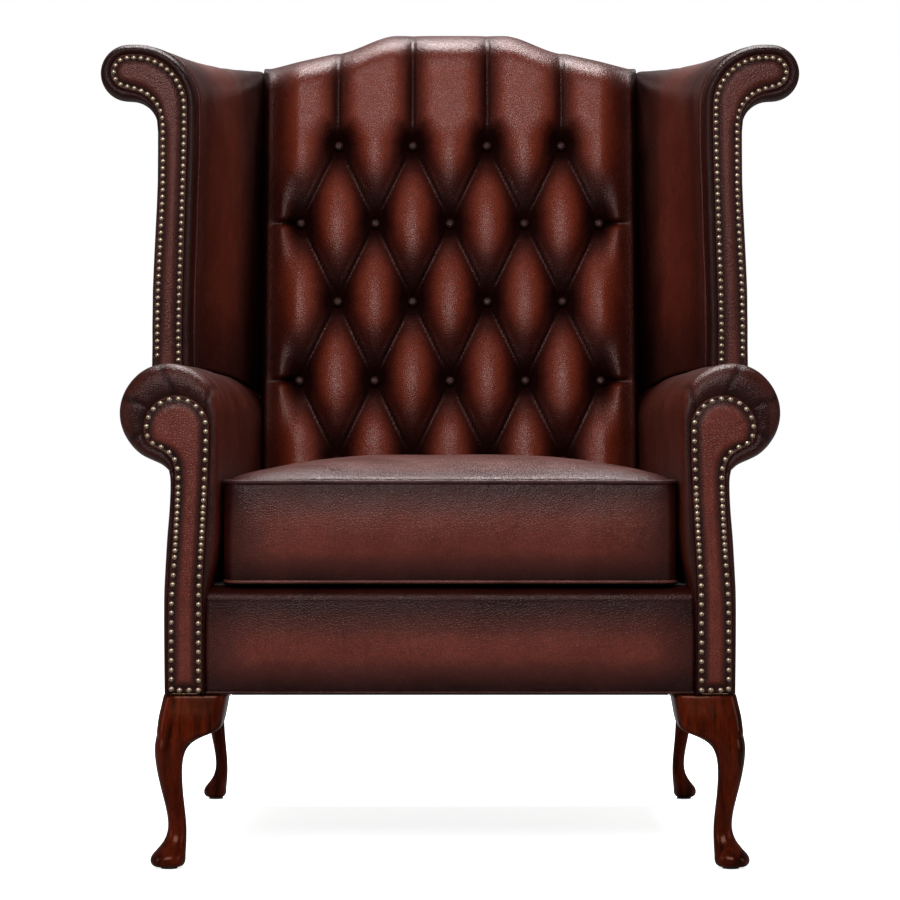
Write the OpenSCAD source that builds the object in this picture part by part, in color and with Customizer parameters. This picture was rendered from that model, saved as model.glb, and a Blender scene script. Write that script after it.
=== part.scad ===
/* [Overall] */
// Depth from the toes of the front feet to the back of the crest
overall_depth = 812; // [780:1:860]
// Height of the legs, up to the underside of the rails
leg_h = 208; // [190:1:240]
// Height of the seat rails
rail_h = 114; // [100:1:130]
// Height of the arm roll's top above the seat platform
arm_rise = 264; // [250:1:300]
// Height of the wing's scroll above the arm roll
wing_rise = 415; // [380:1:440]
// Height of the crest's middle above the top of the wing scrolls
crest_rise = 79; // [60:1:110]

/* [Arms] */
// Distance from the middle of the chair to the centre of an arm roll
arm_x = 334; // [322:1:350]
// Radius of the arm roll
arm_r = 60; // [55:1:66]
// Angle at which each arm runs in towards the back
toe_in = 1.3; // [0.5:0.1:2]
// Thickness of the padding on the inside of an arm
arm_pad_t = 24; // [18:1:28]
// Thickness of the padding that wraps the front arm post
wrap_t = 8; // [6:0.5:10]
// Thickness of the wooden boards of the arms and rails
board_t = 28; // [22:1:30]
// Thickness of the nailed facing panels
facing_t = 8; // [6:0.5:10]

/* [Wings] */
// Distance from the arm front to the wing front
wing_setback = 270; // [240:1:300]
// Inside face of the wing front, from the middle of the chair
wing_in_x = 322; // [314:1:330]
// Thickness of the wing at its neck
wing_t = 52; // [48:1:60]
// Radius of the wing's arch at the front
arch_r = 80; // [70:1:90]
// Radius of the wing's scroll at the front
scroll_r = 36; // [32:1:40]

/* [Back] */
// Half the width of the inside back
back_half_w = 257; // [248:1:260]
// Spacing of the back buttons across
button_dx = 104.5; // [98:0.5:106]
// Spacing of the back buttons up and down
button_dz = 111; // [104:1:114]
// Height of the lowest button row above the seat platform
button_z = 145; // [138:1:160]
// Height of the padding between two buttons
puff_h = 28; // [18:1:32]
// Radius of a button
button_r = 11; // [9:0.5:13]
// Angle at which the inside back leans
back_lean = 12; // [10:0.5:13]
// Angle at which the outside back leans
outer_lean = 4.5; // [3:0.5:6]

/* [Cushion] */
// Height of the cushion's sides
cushion_h = 122; // [100:1:130]
// Height of the crown above the cushion's sides
crown_h = 30; // [20:1:35]
// Clearance between the cushion and the inside back
cushion_slack = 16.5; // [14:0.5:40]
// Thickness of the cushion's leather
cover_t = 2.5; // [2:0.5:4]
// Radius of the welts round the cushion
welt_r = 3; // [2:0.5:4]

/* [Nails] */
// Radius of a nail head
nail_r = 3.9; // [3:0.1:4.2]
// Spacing of the nails on an arm
arm_nail_pitch = 11.3; // [10:0.1:14]
// Spacing of the nails on a wing
wing_nail_pitch = 9.2; // [9:0.1:12]

/* [Legs] */
// Width of the square top of a front leg
leg_top_w = 78; // [70:1:84]
// Width of the square top of a rear leg
rear_top_w = 60; // [54:1:66]
// Thickness of a leg at its ankle
ankle_w = 20; // [18:1:26]
// Diameter of a leg bolt
bolt_d = 8; // [6:1:10]

/* [Hidden] */
$fn = 32;

// Clearance between two pieces that lie close, and overrun of a cut
gap = 0.3;
cut = 1;
// How far the toes stand before the arm fronts
toe_proud = 6;
// Thickness of a leather panel, a webbing strap, a cloth and the dust cover
panel_t = 4;
strap_t = 2;
cloth_t = 1;
dust_t = 1.5;
// Wire of the seat springs, and thickness of the platform pad above it
wire_t = 3.6;
platform_t = 12;
glide_t = 2;
welt_sides = 6;

front_y = toe_proud - overall_depth / 2;
back_y = overall_depth / 2;
rail_top = leg_h + rail_h;
deck_z = rail_top + wire_t + platform_t;
arm_top = deck_z + arm_rise;
roll_z = arm_top - arm_r;
wing_top = arm_top + wing_rise;
crest_z = wing_top + crest_rise;

// The wooden back frame and the planes on it
post_w = 38;
post_clear = 5;
post_x = back_half_w + post_clear;
post_depth_top = 56;
crest_drop = 36;
outer_top_y = back_y;
function outer_y(z) = outer_top_y - (crest_z - z) * tan(outer_lean);
function post_back_y(z) = outer_y(z) - panel_t;
function web_y(z) = post_back_y(z) - post_depth_top - (crest_z - z) * tan(outer_lean) / 3;
stuffing_t = 30;
function button_y(z) = web_y(crest_z) - stuffing_t - (crest_z - z) * tan(back_lean);

// Crest line: a raised middle with sloping shoulders
hump_x = 75;
hump_end_x = 165;
hump_drop = 28;
shoulder_drop = 27;
function ease(t) = let(u = max(0, min(1, t))) u * u * (3 - 2 * u);
function crest_line(x) = crest_z - hump_drop * ease((abs(x) - hump_x) / (hump_end_x - hump_x))
    - shoulder_drop * max(0, (abs(x) - hump_end_x) / (back_half_w - hump_end_x));

function lerp(a, b, t) = a + (b - a) * t;
function arc(x, z, r, from, to, steps) =
    [for (i = [0:steps]) let(a = from + (to - from) * i / steps) [x + r * cos(a), z + r * sin(a)]];

function middle(ring) = let(n = len(ring)) [for (k = [0:2]) [for (p = ring) 1] * [for (p = ring) p[k]] / n];
// Closed triangulated skin over rings that hold the same number of points
module loft(rings, fan = false) {
    n = len(rings[0]);
    last = len(rings) - 1;
    points = concat([for (ring = rings) each ring], fan ? [middle(rings[0]), middle(rings[last])] : []);
    centre = n * len(rings);
    sides = [for (i = [0:last - 1], j = [0:n - 1], k = [0, 1])
        let(a = i * n + j, b = i * n + (j + 1) % n)
        k == 0 ? [b, a, b + n] : [b + n, a, a + n]];
    start = fan ? [for (j = [0:n - 1]) [j, (j + 1) % n, centre]] : [[for (j = [0:n - 1]) j]];
    end = fan ? [for (j = [0:n - 1]) [last * n + (j + 1) % n, last * n + j, centre + 1]]
        : [[for (j = [0:n - 1]) last * n + n - 1 - j]];
    polyhedron(points, concat(start, sides, end), convexity = 8);
}
// Closed skin of a bent pad: rings of an outer and an inner path that hold the same number of points
module pad_loft(outer, inner) {
    n = len(outer[0]);
    last = len(outer) - 1;
    base = n * len(outer);
    points = concat([for (ring = outer) each ring], [for (ring = inner) each ring]);
    function quad(a, b, c, d) = [[a, b, c], [a, c, d]];
    faces = concat(
        [for (i = [0:last - 1], j = [0:n - 2]) let(a = i * n + j) each quad(a, a + n, a + n + 1, a + 1)],
        [for (i = [0:last - 1], j = [0:n - 2]) let(a = base + i * n + j)
            each quad(a, a + 1, a + n + 1, a + n)],
        [for (i = [0:last - 1]) let(a = i * n) each quad(a, base + a, base + a + n, a + n)],
        [for (i = [0:last - 1]) let(a = i * n + n - 1) each quad(a, a + n, base + a + n, base + a)],
        [for (j = [0:n - 2]) each quad(j, j + 1, base + j + 1, base + j)],
        [for (j = [0:n - 2]) let(a = last * n + j) each quad(a, base + a, base + a + 1, a + 1)]);
    polyhedron(points, faces, convexity = 8);
}

// Points at an even pitch along a path
function reach(path, i = 0, sum = 0, out = [0]) = i + 1 >= len(path) ? out
    : let(next = sum + norm(path[i + 1] - path[i])) reach(path, i + 1, next, concat(out, [next]));
function along(path, marks, d) =
    let(k = max([for (i = [0:len(marks) - 2]) if (marks[i] <= d) i]))
    lerp(path[k], path[k + 1], (d - marks[k]) / (marks[k + 1] - marks[k]));
function evenly(path, pitch) = let(marks = reach(path), total = marks[len(marks) - 1],
    count = round(total / pitch)) [for (i = [0:count - 1]) along(path, marks, total * i / count)];

module left() { mirror([1, 0, 0]) children(); }
// Frame of the right arm: x is out from the roll's centre, y is back from the arm's front
module right_arm() { translate([arm_x, front_y, 0]) rotate([0, 0, toe_in]) children(); }
// Extrudes an outline drawn in x and z towards the back
module deep(y, t) { translate([0, y + t, 0]) rotate([90, 0, 0]) linear_extrude(t) children(); }

// Legs
toe_out = 31;
leg_sides = 12;
bolt_in = 13;
rear_bolt_in = 18;
bolt_up = 56;
bolt_down_share = 0.2;
bolt_down = leg_h * bolt_down_share;
front_leg_y = front_y + leg_top_w / 2 + toe_proud - gap;
front_leg_x = arm_x + 8 * gap + toe_proud - leg_top_w / 2;
rear_leg_x = arm_x - rear_top_w / 2 - 2 * gap;
rear_leg_y = post_back_y(leg_h) - rear_top_w / 2;
// Shares of the leg's height, of its top width and of the toe's reach, from the top down
leg_shape_shares = [[1, 1, 0], [0.95, 1, 0], [0.865, 1.02, 0.14], [0.79, 0.98, 0.2], [0.755, 0.8, 0.42],
    [0.71, 0.56, 0.78], [0.63, 0.41, 0.93], [0.54, 0.37, 0.92], [0.46, 0.33, 0.86], [0.38, 0.29, 0.8],
    [0.3, 0.26, 0.71], [0.225, 0.256, 0.68], [0.15, 0.33, 0.74], [0.1, 0.44, 0.88], [0.07, 0.49, 0.98],
    [0.035, 0.5, 1], [0.015, 0.44, 1], [0, 0.34, 1]];
ankle_share = 0.256;
function leg_ring(h, w, dx, dy, i) = let(s = leg_shape_shares[i],
    slim = s[1] < ankle_share * 2 ? lerp(1, ankle_w / (w * ankle_share), (2 - s[1] / ankle_share)) : 1,
    half = s[1] * w / 2 * slim, square = ease((s[1] - 0.5) * 2))
    [for (j = [0:leg_sides - 1]) let(a = 45 + 360 * j / leg_sides,
        k = lerp(1, 1 / max(abs(cos(a)), abs(sin(a))), square * 0.8 + 0.12))
        [dx * s[2] * toe_out + half * k * cos(a), dy * s[2] * toe_out + half * k * sin(a),
            glide_t + s[0] * (h - glide_t)]];
module leg(w, dx, dy, bx, by) {
    count = len(leg_shape_shares);
    difference() {
        loft([for (i = [count - 1:-1:0]) leg_ring(leg_h, w, dx, dy, i)]);
        translate([bx, by, leg_h - bolt_down]) cylinder(d = bolt_d + gap, h = bolt_down + cut);
    }
}
module front_leg_right() {
    color([0.25, 0.07, 0.05]) translate([front_leg_x, front_leg_y, 0])
        leg(leg_top_w, 1, -1, -bolt_in, bolt_in);
}
module rear_leg_right() {
    color([0.25, 0.07, 0.05]) translate([rear_leg_x, rear_leg_y, 0])
        leg(rear_top_w, 1, 1, -rear_bolt_in, -rear_bolt_in);
}
module front_leg_left() { left() front_leg_right(); }
module rear_leg_left() { left() rear_leg_right(); }
module both_sides() { children(); left() children(); }
module leg_bolts() {
    color([0.6, 0.6, 0.6]) both_sides() {
        translate([front_leg_x - bolt_in, front_leg_y + bolt_in, leg_h - bolt_down])
            cylinder(d = bolt_d, h = bolt_down + bolt_up);
        translate([rear_leg_x - rear_bolt_in, rear_leg_y - rear_bolt_in, leg_h - bolt_down])
            cylinder(d = bolt_d, h = bolt_down + bolt_up);
    }
}
module foot_glides() {
    color([0.1, 0.1, 0.1]) both_sides() {
        translate([front_leg_x + toe_out, front_leg_y - toe_out, 0])
            cylinder(r = ankle_w / 2, h = glide_t);
        translate([rear_leg_x + toe_out, rear_leg_y + toe_out, 0])
            cylinder(r = ankle_w / 2, h = glide_t);
    }
}

// Arm outline, in x out from the roll's centre and in height
body_out = 7;
body_in = 43;
neck_out_z = roll_z - arm_r * 1.1;
// The wood comes nearer to the leather below the seat and on the outside than inside the roll
inner_wrap_t = 1.5;
outer_wrap_t = panel_t + gap;
function arm_outline(inset) = let(inner = min(inset, inner_wrap_t), outer = min(inset, outer_wrap_t)) concat(
    [[-body_in + inner, leg_h]],
    [[-body_in + inner, deck_z - inset / 2]],
    [[-arm_r + inset, deck_z + arm_pad_t]],
    arc(0, roll_z, arm_r - inset, 180, -85, 26),
    [[-outer, roll_z - arm_r + inset]],
    [[-outer, neck_out_z - arm_pad_t]],
    [[body_out * 0.8 - outer, deck_z + wrap_t]],
    [[body_out - outer, rail_top]],
    [[body_out - outer, leg_h]]);
board_w = 60;
board_h = 24;
board_z = roll_z - board_h / 2;
arm_len = post_back_y(roll_z) - front_y - gap;
// Space that the back posts and the inside back take from the rear of an arm
module back_corner() {
    translate([0, web_y(deck_z) - gap, 0]) cube([post_x + post_w + gap, overall_depth, crest_z]);
}
module arm_shape(inset) { polygon(arm_outline(inset)); }
// Space inside the arm that the pad goes round
module arm_hollow() {
    translate([-board_w / 2, board_z]) square([board_w, board_h]);
    translate([-arm_r + arm_pad_t, -cut]) square([arm_r - arm_pad_t - panel_t - gap, board_z + 2 * cut]);
    difference() {
        translate([-panel_t - 2 * gap, -cut]) square([2 * arm_r, roll_z]);
        translate([0, roll_z]) circle(r = arm_r, $fn = 64);
    }
}
module arm_pad_right() {
    color([0.36, 0.12, 0.09]) difference() {
        right_arm() difference() {
            deep(0, arm_len) difference() {
                arm_shape(0);
                arm_hollow();
                translate([-2 * arm_r, 0]) square([4 * arm_r, deck_z]);
            }
            deep(-cut, facing_t + board_t + cut) arm_shape(wrap_t);
        }
        back_corner();
        behind_frame();
    }
}
module arm_post_right() {
    color([0.8, 0.66, 0.45]) right_arm() deep(facing_t, board_t) arm_shape(wrap_t);
}
module arm_board_right() {
    color([0.8, 0.66, 0.45]) difference() {
        right_arm() deep(facing_t + board_t, arm_len - facing_t - board_t)
            translate([-board_w / 2, board_z]) square([board_w, board_h]);
        back_corner();
        behind_frame();
    }
}
// Thin panel below the roll on the outside of the arm
panel_top = roll_z - arm_r + panel_t;
panel_len = post_back_y(panel_top) - front_y;
// Everything behind the frame, where the outside back lies
module behind_frame() {
    lean_board(2 * arm_r, panel_t - 2 * arm_r) translate([-2 * arm_x, 0]) square([4 * arm_x, crest_z]);
}
function panel_side(t) = [[-t, panel_top], [-t, neck_out_z - arm_pad_t],
    [body_out * 0.8 - t, deck_z + wrap_t], [body_out - t, rail_top], [body_out - t, leg_h]];
function backwards(list) = [for (i = [len(list) - 1:-1:0]) list[i]];
module arm_panel_right() {
    color([0.3, 0.1, 0.08]) difference() {
        right_arm() difference() {
            deep(gap, panel_len) polygon(concat(panel_side(0), backwards(panel_side(panel_t))));
            deep(-cut, panel_len + 2 * cut) circle_roll();
        }
        behind_frame();
    }
}
module circle_roll() { translate([0, roll_z]) circle(r = arm_r + gap, $fn = 64); }

// Facing of the arm: a round head on a long panel, inside the roll
head_x = -9;
head_drop = 18;
head_r = 41;
facing_in = 49;
facing_low_in = 41;
facing_out = 6;
facing_low_out = -2.5;
function arm_face(inset) = concat(
    [[-facing_low_in + inset, leg_h + inset + gap], [-facing_low_in + inset, deck_z]],
    arc(head_x, roll_z - head_drop, head_r - inset, 180, -35, 16),
    [[-facing_out - inset, roll_z - arm_r + wrap_t / 2]],
    [[-facing_out - inset, neck_out_z]],
    [[-facing_low_out - inset, rail_top + wrap_t], [-facing_low_out - inset, leg_h + inset + gap]]);
module arm_facing_right() {
    color([0.33, 0.11, 0.09]) right_arm() deep(0, facing_t - gap) intersection() {
        polygon(arm_face(0));
        arm_shape(wrap_t + gap);
    }
}
// Domed nails, each a stepped head on a shank
shank_l = 14;
nail_flat = 1.2;
nail_dome = 2.4;
module nail() {
    rotate([90, 0, 0]) {
        cylinder(r = nail_r, h = nail_flat);
        cylinder(r = nail_r * 0.7, h = nail_dome);
        translate([0, 0, -shank_l]) cylinder(r = nail_r / 5, h = shank_l);
    }
}
nail_inset = 6.5;
arm_nail_path = concat(arm_face(nail_inset), [arm_face(nail_inset)[0]]);
module arm_nails_right() {
    color([0.6, 0.5, 0.35]) right_arm() for (p = evenly(arm_nail_path, arm_nail_pitch))
        translate([p[0], 0, p[1]]) nail();
}
module arm_pad_left() { left() arm_pad_right(); }
module arm_post_left() { left() arm_post_right(); }
module arm_board_left() { left() arm_board_right(); }
module arm_panel_left() { left() arm_panel_right(); }
module arm_facing_left() { left() arm_facing_right(); }
module arm_nails_left() { left() arm_nails_right(); }

// Wing: a scroll at the front that narrows towards the back
wing_y = front_y + wing_setback;
scroll_back_r = 16;
arch_back_r = 34;
wing_back_t = 46;
neck_hollow_r = 34;
neck_back_r = 6;
scroll_shift = 9;
wing_back_rise = 23;
wing_spread = 7;
wing_pad_t = 20;
wing_back_x = post_x;
// Clearance over the roll at the corners of what stands on it, where its round side comes nearer
roll_clear = 1.1;
// Height of the arm roll under a point of the wing, with a clearance
function on_roll(x, y) = let(cx = arm_x - (y - front_y) * sin(toe_in), dx = min(arm_r, abs(x - cx)))
    roll_z + sqrt(pow(arm_r + roll_clear, 2) - pow(min(dx, arm_r), 2));
// Path up the inside of the wing and over its scroll at a share t of its depth, drawn in by insets
function wing_size(t) = let(x_in = lerp(wing_in_x, wing_back_x, t), top = wing_top + wing_back_rise * t)
    [x_in, x_in + lerp(wing_t, wing_back_t, t), top, lerp(arch_r, arch_back_r, t),
        lerp(scroll_r, scroll_back_r, t), lerp(neck_hollow_r, neck_back_r, t), wing_spread * (1 - t / 2),
        lerp(wing_y, web_y(arm_top), t)];
wing_low_z = arm_top + wing_rise / 4;
wing_mid_z = arm_top + wing_rise * 0.55;
function wing_over(t, pad, scroll, neck) = let(w = wing_size(t), low = w[0] + w[6] + pad,
    ax = w[0] + w[3], sx = ax + scroll_shift * (1 - t) + gap)
    concat([[low, on_roll(low, w[7])], [low, wing_low_z], [w[0] + pad, wing_mid_z]],
    arc(ax, w[2] - w[3], w[3] - pad, 180, 90, 8), arc(sx, w[2] - w[4], w[4] - scroll, 80, -80, 8),
    arc(w[1] + w[5], w[2] - 2 * w[4] - w[5], w[5] + neck, 100, 180, 4));
// Whole outline of the wing, at its front or at a share of its depth
function wing_outline(inset, out_inset, t = 0) = let(w = wing_size(t), low = w[0] + w[6] + inset,
    out = w[1] + w[6] - out_inset)
    concat(wing_over(t, inset, inset, inset), [[w[1] - out_inset, wing_mid_z], [out, wing_low_z],
        [out, on_roll(out, w[7])]], [for (i = [1:foot_steps - 1]) let(x = lerp(out, low, i / foot_steps))
            [x, on_roll(x, w[7])]]);
// Depth at a share t: upright up to the back of the front board, then leaning to meet the back posts
function wing_depth(z, t) = t <= front_share ? lerp(wing_y, board_back_y, t / front_share)
    : lerp(board_back_y, web_y(z) - strap_t - 2 * gap, (t - front_share) / (1 - front_share));
function in_depth(path, t) = [for (p = path) [p[0], wing_depth(p[1], t), p[1]]];
wing_steps = 7;
foot_steps = 5;
wing_post_t = 25;
// Room round the post for the wing's taper over the post's thickness
post_slack = 10.5;
board_back_y = wing_y + facing_t + wing_post_t;
front_share = (facing_t + wing_post_t) / (web_y(wing_top) - wing_y);
scroll_fill_share = 0.6;
neck_pad_share = 0.35;
module wing_pad_right() {
    behind = [for (i = [0:wing_steps]) lerp(front_share * 1.01, 1, i / wing_steps)];
    color([0.36, 0.12, 0.09]) pad_loft(
        [for (t = concat([0, front_share], behind)) in_depth(wing_over(t, 0, 0, 0), t)],
        concat([for (t = [0, front_share]) in_depth(wing_over(t, wrap_t, wrap_t, wrap_t), t)],
            [for (t = behind) in_depth(wing_over(t, wing_pad_t, wing_size(t)[4] * scroll_fill_share,
                wing_t * neck_pad_share), t)]));
}
module wing_post_right() {
    color([0.8, 0.66, 0.45]) deep(wing_y + facing_t, wing_post_t - gap)
        polygon(wing_outline(wrap_t + post_slack, panel_t + post_slack));
}
face_inset = 12;
nail_line_inset = 7;
module wing_facing_right() {
    color([0.33, 0.11, 0.09]) deep(wing_y, facing_t - gap)
        polygon(wing_outline(face_inset, panel_t + cut + gap));
}
wing_nail_line = [for (p = wing_outline(face_inset + nail_line_inset, nail_line_inset)) if (p[1] >= wing_low_z) p];
module wing_nails_right() {
    low_z = arm_top + 2 * nail_line_inset;
    first = [wing_nail_line[0][0], low_z];
    end = [wing_nail_line[len(wing_nail_line) - 1][0], low_z];
    color([0.6, 0.5, 0.35])
        for (p = evenly(concat([first], wing_nail_line, [end]), wing_nail_pitch))
            translate([p[0], wing_y, p[1]]) nail();
}
// Sloping rail from the wing's front board to the back post
wing_rail_h = 30;
wing_rail_w = 18;
module wing_rail_right() {
    top = wing_top - scroll_r * 3;
    color([0.8, 0.66, 0.45]) loft([for (t = [front_share * 1.02, 1])
        let(x = lerp(wing_in_x, wing_back_x, t) + wing_pad_t + gap, z = top + wing_back_rise * t)
        [for (p = [[x, z - wing_rail_h], [x, z], [x + wing_rail_w, z], [x + wing_rail_w, z - wing_rail_h]])
            [p[0], t < 1 ? board_back_y : web_y(p[1]) - gap, p[1]]]]);
}
// Leather panel over the outside of the wing, back to the outside back
function wing_panel_ring(t) = let(u = min(t, 1), w = wing_size(u), x = w[1], low = w[1] + w[6],
    top = w[2] - 2 * w[4] - w[5] - gap, thin = panel_t - gap)
    [for (q = [[x - thin, top], [x, top], [x, wing_mid_z], [low, wing_low_z], [low, on_roll(low, w[7])],
        [low - thin, on_roll(low - thin, w[7])], [low - thin, wing_low_z], [x - thin, wing_mid_z]])
        [q[0], t > 1 ? post_back_y(q[1]) - gap : wing_depth(q[1], u), q[1]]];
module wing_panel_right() {
    color([0.3, 0.1, 0.08]) loft([for (t = concat([0, front_share],
        [for (i = [1:wing_steps]) lerp(front_share, 1, i / wing_steps)], [2])) wing_panel_ring(t)]);
}
// Padded corner that carries the wing's top over the back post to the outside back
module back_corner_pad_right() {
    first = 3;
    function part(path, back) = [for (i = [first:len(path) - 1]) let(p = path[i])
        [p[0], back ? post_back_y(p[1]) - gap : web_y(p[1]) - strap_t - gap, p[1]]];
    outer = wing_over(1, 0, 0, 0);
    inner = wing_over(1, wing_pad_t, wing_size(1)[4] * scroll_fill_share, wing_t * neck_pad_share);
    color([0.36, 0.12, 0.09]) pad_loft([part(outer, false), part(outer, true)],
        [part(inner, false), part(inner, true)]);
}
module back_corner_pad_left() { left() back_corner_pad_right(); }
module wing_pad_left() { left() wing_pad_right(); }
module wing_post_left() { left() wing_post_right(); }
module wing_rail_left() { left() wing_rail_right(); }
module wing_facing_left() { left() wing_facing_right(); }
module wing_nails_left() { left() wing_nails_right(); }
module wing_panel_left() { left() wing_panel_right(); }

// Seat frame
rail_y = front_y + facing_t;
function side_in(y) = arm_x + body_out - panel_t - board_t - gap - (y - front_y) * tan(toe_in);
front_rail_x = arm_x - body_in - cut;
module rail_slab(x, y, z, h, t) { translate([-x, y, z]) cube([2 * x, t, h]); }
module front_rail() {
    color([0.8, 0.66, 0.45]) rail_slab(front_rail_x, rail_y, leg_h, rail_h, board_t);
}
rear_rail_y = post_back_y(leg_h) - board_t;
module rear_rail() {
    color([0.8, 0.66, 0.45]) rail_slab(post_x - gap, rear_rail_y, leg_h, rail_h, board_t);
}
module side_rail_right() {
    color([0.8, 0.66, 0.45]) right_arm() translate([body_out - panel_t - board_t - gap,
        facing_t + board_t, leg_h])
        cube([board_t, web_y(leg_h) - front_y - facing_t - board_t - 3 * gap, rail_h]);
}
module side_rail_left() { left() side_rail_right(); }
block_w = 72;
block_lift = 6;
module corner_block(x, y, flip) {
    translate([0, 0, leg_h + block_lift]) linear_extrude(rail_h - 3 * block_lift)
        polygon([[x, y], [x - block_w, y], [x, y + flip * block_w]]);
}
module corner_blocks() {
    color([0.75, 0.6, 0.4]) both_sides() {
        difference() {
            corner_block(side_in(rail_y + board_t + block_w) - gap, rail_y + board_t, 1);
            translate([front_leg_x - bolt_in, front_leg_y + bolt_in, leg_h])
                cylinder(d = bolt_d + gap, h = rail_h);
        }
        corner_block(post_x - 3 * gap, rear_rail_y, -1);
    }
}
screw_d = 5;
screw_l = 50;
module frame_screws() {
    color([0.6, 0.6, 0.6]) both_sides() for (z = [rail_h / 3, rail_h * 2 / 3]) {
        translate([front_rail_x - board_t, rail_y + board_t + screw_l / 2, leg_h + z])
            rotate([90, 0, 0]) cylinder(d = screw_d, h = screw_l);
        translate([post_x - board_t, rear_rail_y + screw_d, leg_h + z])
            rotate([90, 0, 0]) cylinder(d = screw_d, h = screw_l / 2);
    }
}

// Back frame: raked posts, serpentine crest rail and a lower rail
post_top = wing_top - scroll_r / 2;
module back_post_right() {
    color([0.8, 0.66, 0.45]) difference() {
        translate([post_x, 0, 0]) rotate([90, 0, 90]) linear_extrude(post_w)
            polygon([[web_y(leg_h), leg_h], [post_back_y(leg_h) - gap, leg_h],
                [post_back_y(post_top) - gap, post_top], [web_y(post_top), post_top]]);
        translate([rear_leg_x - rear_bolt_in, rear_leg_y - rear_bolt_in, leg_h - cut])
            cylinder(d = bolt_d + gap, h = bolt_up + 2 * cut);
    }
}
module back_post_left() { left() back_post_right(); }
crest_rail_h = 110;
// Board between the posts that leans with the outside back
module lean_board(t, setback) {
    translate([0, outer_y(0) - setback, 0]) rotate([-outer_lean, 0, 0])
        rotate([90, 0, 0]) linear_extrude(t) children();
}
crest_steps = 24;
lean_scale = 1 / cos(outer_lean);
function crest_points(half, drop) = [for (i = [0:crest_steps]) let(x = lerp(half, -half, i / crest_steps))
    [x, (crest_line(x) - drop) * lean_scale]];
module crest_rail() {
    color([0.8, 0.66, 0.45]) lean_board(board_t, panel_t + gap) polygon(concat(
        [[-post_x + gap, (crest_z - hump_drop - crest_rail_h) * lean_scale],
            [post_x - gap, (crest_z - hump_drop - crest_rail_h) * lean_scale]],
        crest_points(post_x - gap, crest_drop)));
}
lower_rail_z = deck_z + button_z / 3;
lower_rail_h = 60;
module lower_back_rail() {
    color([0.8, 0.66, 0.45]) translate([0, web_y(lower_rail_z + lower_rail_h), lower_rail_z])
        rail_slab(post_x - gap, gap, 0, lower_rail_h, board_t);
}

// Seat springs, clips and platform
spring_count = 5;
spring_pitch = 100;
spring_swing = 22;
spring_turns = 9;
spring_len = rear_rail_y - rail_y;
module seat_springs() {
    color([0.5, 0.5, 0.52]) for (i = [0:spring_count - 1])
        translate([(i - (spring_count - 1) / 2) * spring_pitch, rail_y + board_t / 2, rail_top])
            linear_extrude(wire_t) spring_line();
}
module spring_line() {
    steps = spring_turns * 6;
    mid = [for (i = [0:steps]) [spring_swing * sin(360 * spring_turns * i / steps), spring_len * i / steps]];
    polygon(concat([for (p = mid) p - [wire_t / 2, 0]],
        backwards([for (p = mid) p + [wire_t / 2, 0]])));
}
clip_w = 18;
module spring_clips() {
    color([0.65, 0.65, 0.66]) for (i = [0:spring_count - 1], y = [0, 1])
        translate([(i - (spring_count - 1) / 2) * spring_pitch + clip_w / 6,
            y == 0 ? rail_y + gap : rear_rail_y + board_t - clip_w * 0.7, rail_top])
            difference() {
                cube([clip_w, clip_w * 0.6, wire_t]);
                translate([-clip_w, clip_w, -cut]) cube([clip_w, clip_w, wire_t * 2]);
            }
}
platform_y = rail_y + board_t + wrap_t;
module seat_platform() {
    color([0.15, 0.12, 0.1]) translate([0, 0, rail_top + wire_t]) linear_extrude(platform_t - gap)
        polygon([[-arm_x + body_in + wrap_t, platform_y], [arm_x - body_in - wrap_t, platform_y],
            [back_half_w - wrap_t, web_y(deck_z) - 2 * strap_t],
            [-back_half_w + wrap_t, web_y(deck_z) - 2 * strap_t]]);
}
// Padded leather over the front rail, with a lip on top
border_bulge = 4;
module front_border() {
    color([0.33, 0.11, 0.09]) translate([-front_rail_x, 0, 0]) rotate([90, 0, 90])
        linear_extrude(2 * front_rail_x) polygon(concat(
            [[rail_y - gap / 2, leg_h + gap]],
            [for (i = [0:6]) [rail_y - facing_t + border_bulge - border_bulge * sin(i * 30),
                lerp(leg_h + gap, deck_z - wrap_t, i / 6)]],
            [[rail_y - gap, deck_z - gap], [platform_y - gap, deck_z - gap],
                [platform_y - gap, rail_top + wire_t + gap], [rail_y - gap / 2, rail_top + wire_t + gap]]));
}
module dust_cover() {
    color([0.08, 0.08, 0.08]) translate([0, 0, leg_h - dust_t]) difference() {
        rail_slab(outside_low_x - board_t / 2, rail_y + gap, 0, dust_t, rear_rail_y - rail_y);
        both_sides() {
            translate([front_leg_x - leg_top_w * 0.56, rail_y - cut, -cut])
                cube([leg_top_w, leg_top_w + wrap_t, dust_t * 4]);
            translate([rear_leg_x - rear_top_w * 0.56, rear_leg_y - rear_top_w * 0.56, -cut])
                cube([leg_top_w, leg_top_w, dust_t * 4]);
        }
    }
}

// Back: webbing, hessian, tufted stuffing, buttons, outside cover
strap_w = 50;
strap_count = 5;
module back_webbing() {
    color([0.55, 0.42, 0.25]) for (i = [0:strap_count - 1])
        let(z = lerp(deck_z + strap_w, crest_z - hump_drop - crest_rail_h - strap_w * 1.5,
            i / (strap_count - 1)))
            web_board(strap_t, gap) translate([-post_x - post_w / 2, z]) square([2 * post_x + post_w,
                strap_w]);
}
web_lean = atan((web_y(crest_z) - web_y(leg_h)) / (crest_z - leg_h));
module web_board(t, setback) {
    translate([0, web_y(0) - setback, 0]) rotate([-web_lean, 0, 0]) rotate([90, 0, 0])
        linear_extrude(t) children();
}
module back_hessian() {
    color([0.6, 0.5, 0.35]) web_board(cloth_t, 2 * gap + strap_t) translate([-back_half_w, deck_z + gap])
        square([2 * back_half_w, post_top - deck_z - wrap_t]);
}
pad_low_y = button_y(deck_z + button_z) - puff_h * 0.9;
edge_cols = 2;
cols_per_button = 8;
col_count = cols_per_button * 4;
rows_per_button = 4;
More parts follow.
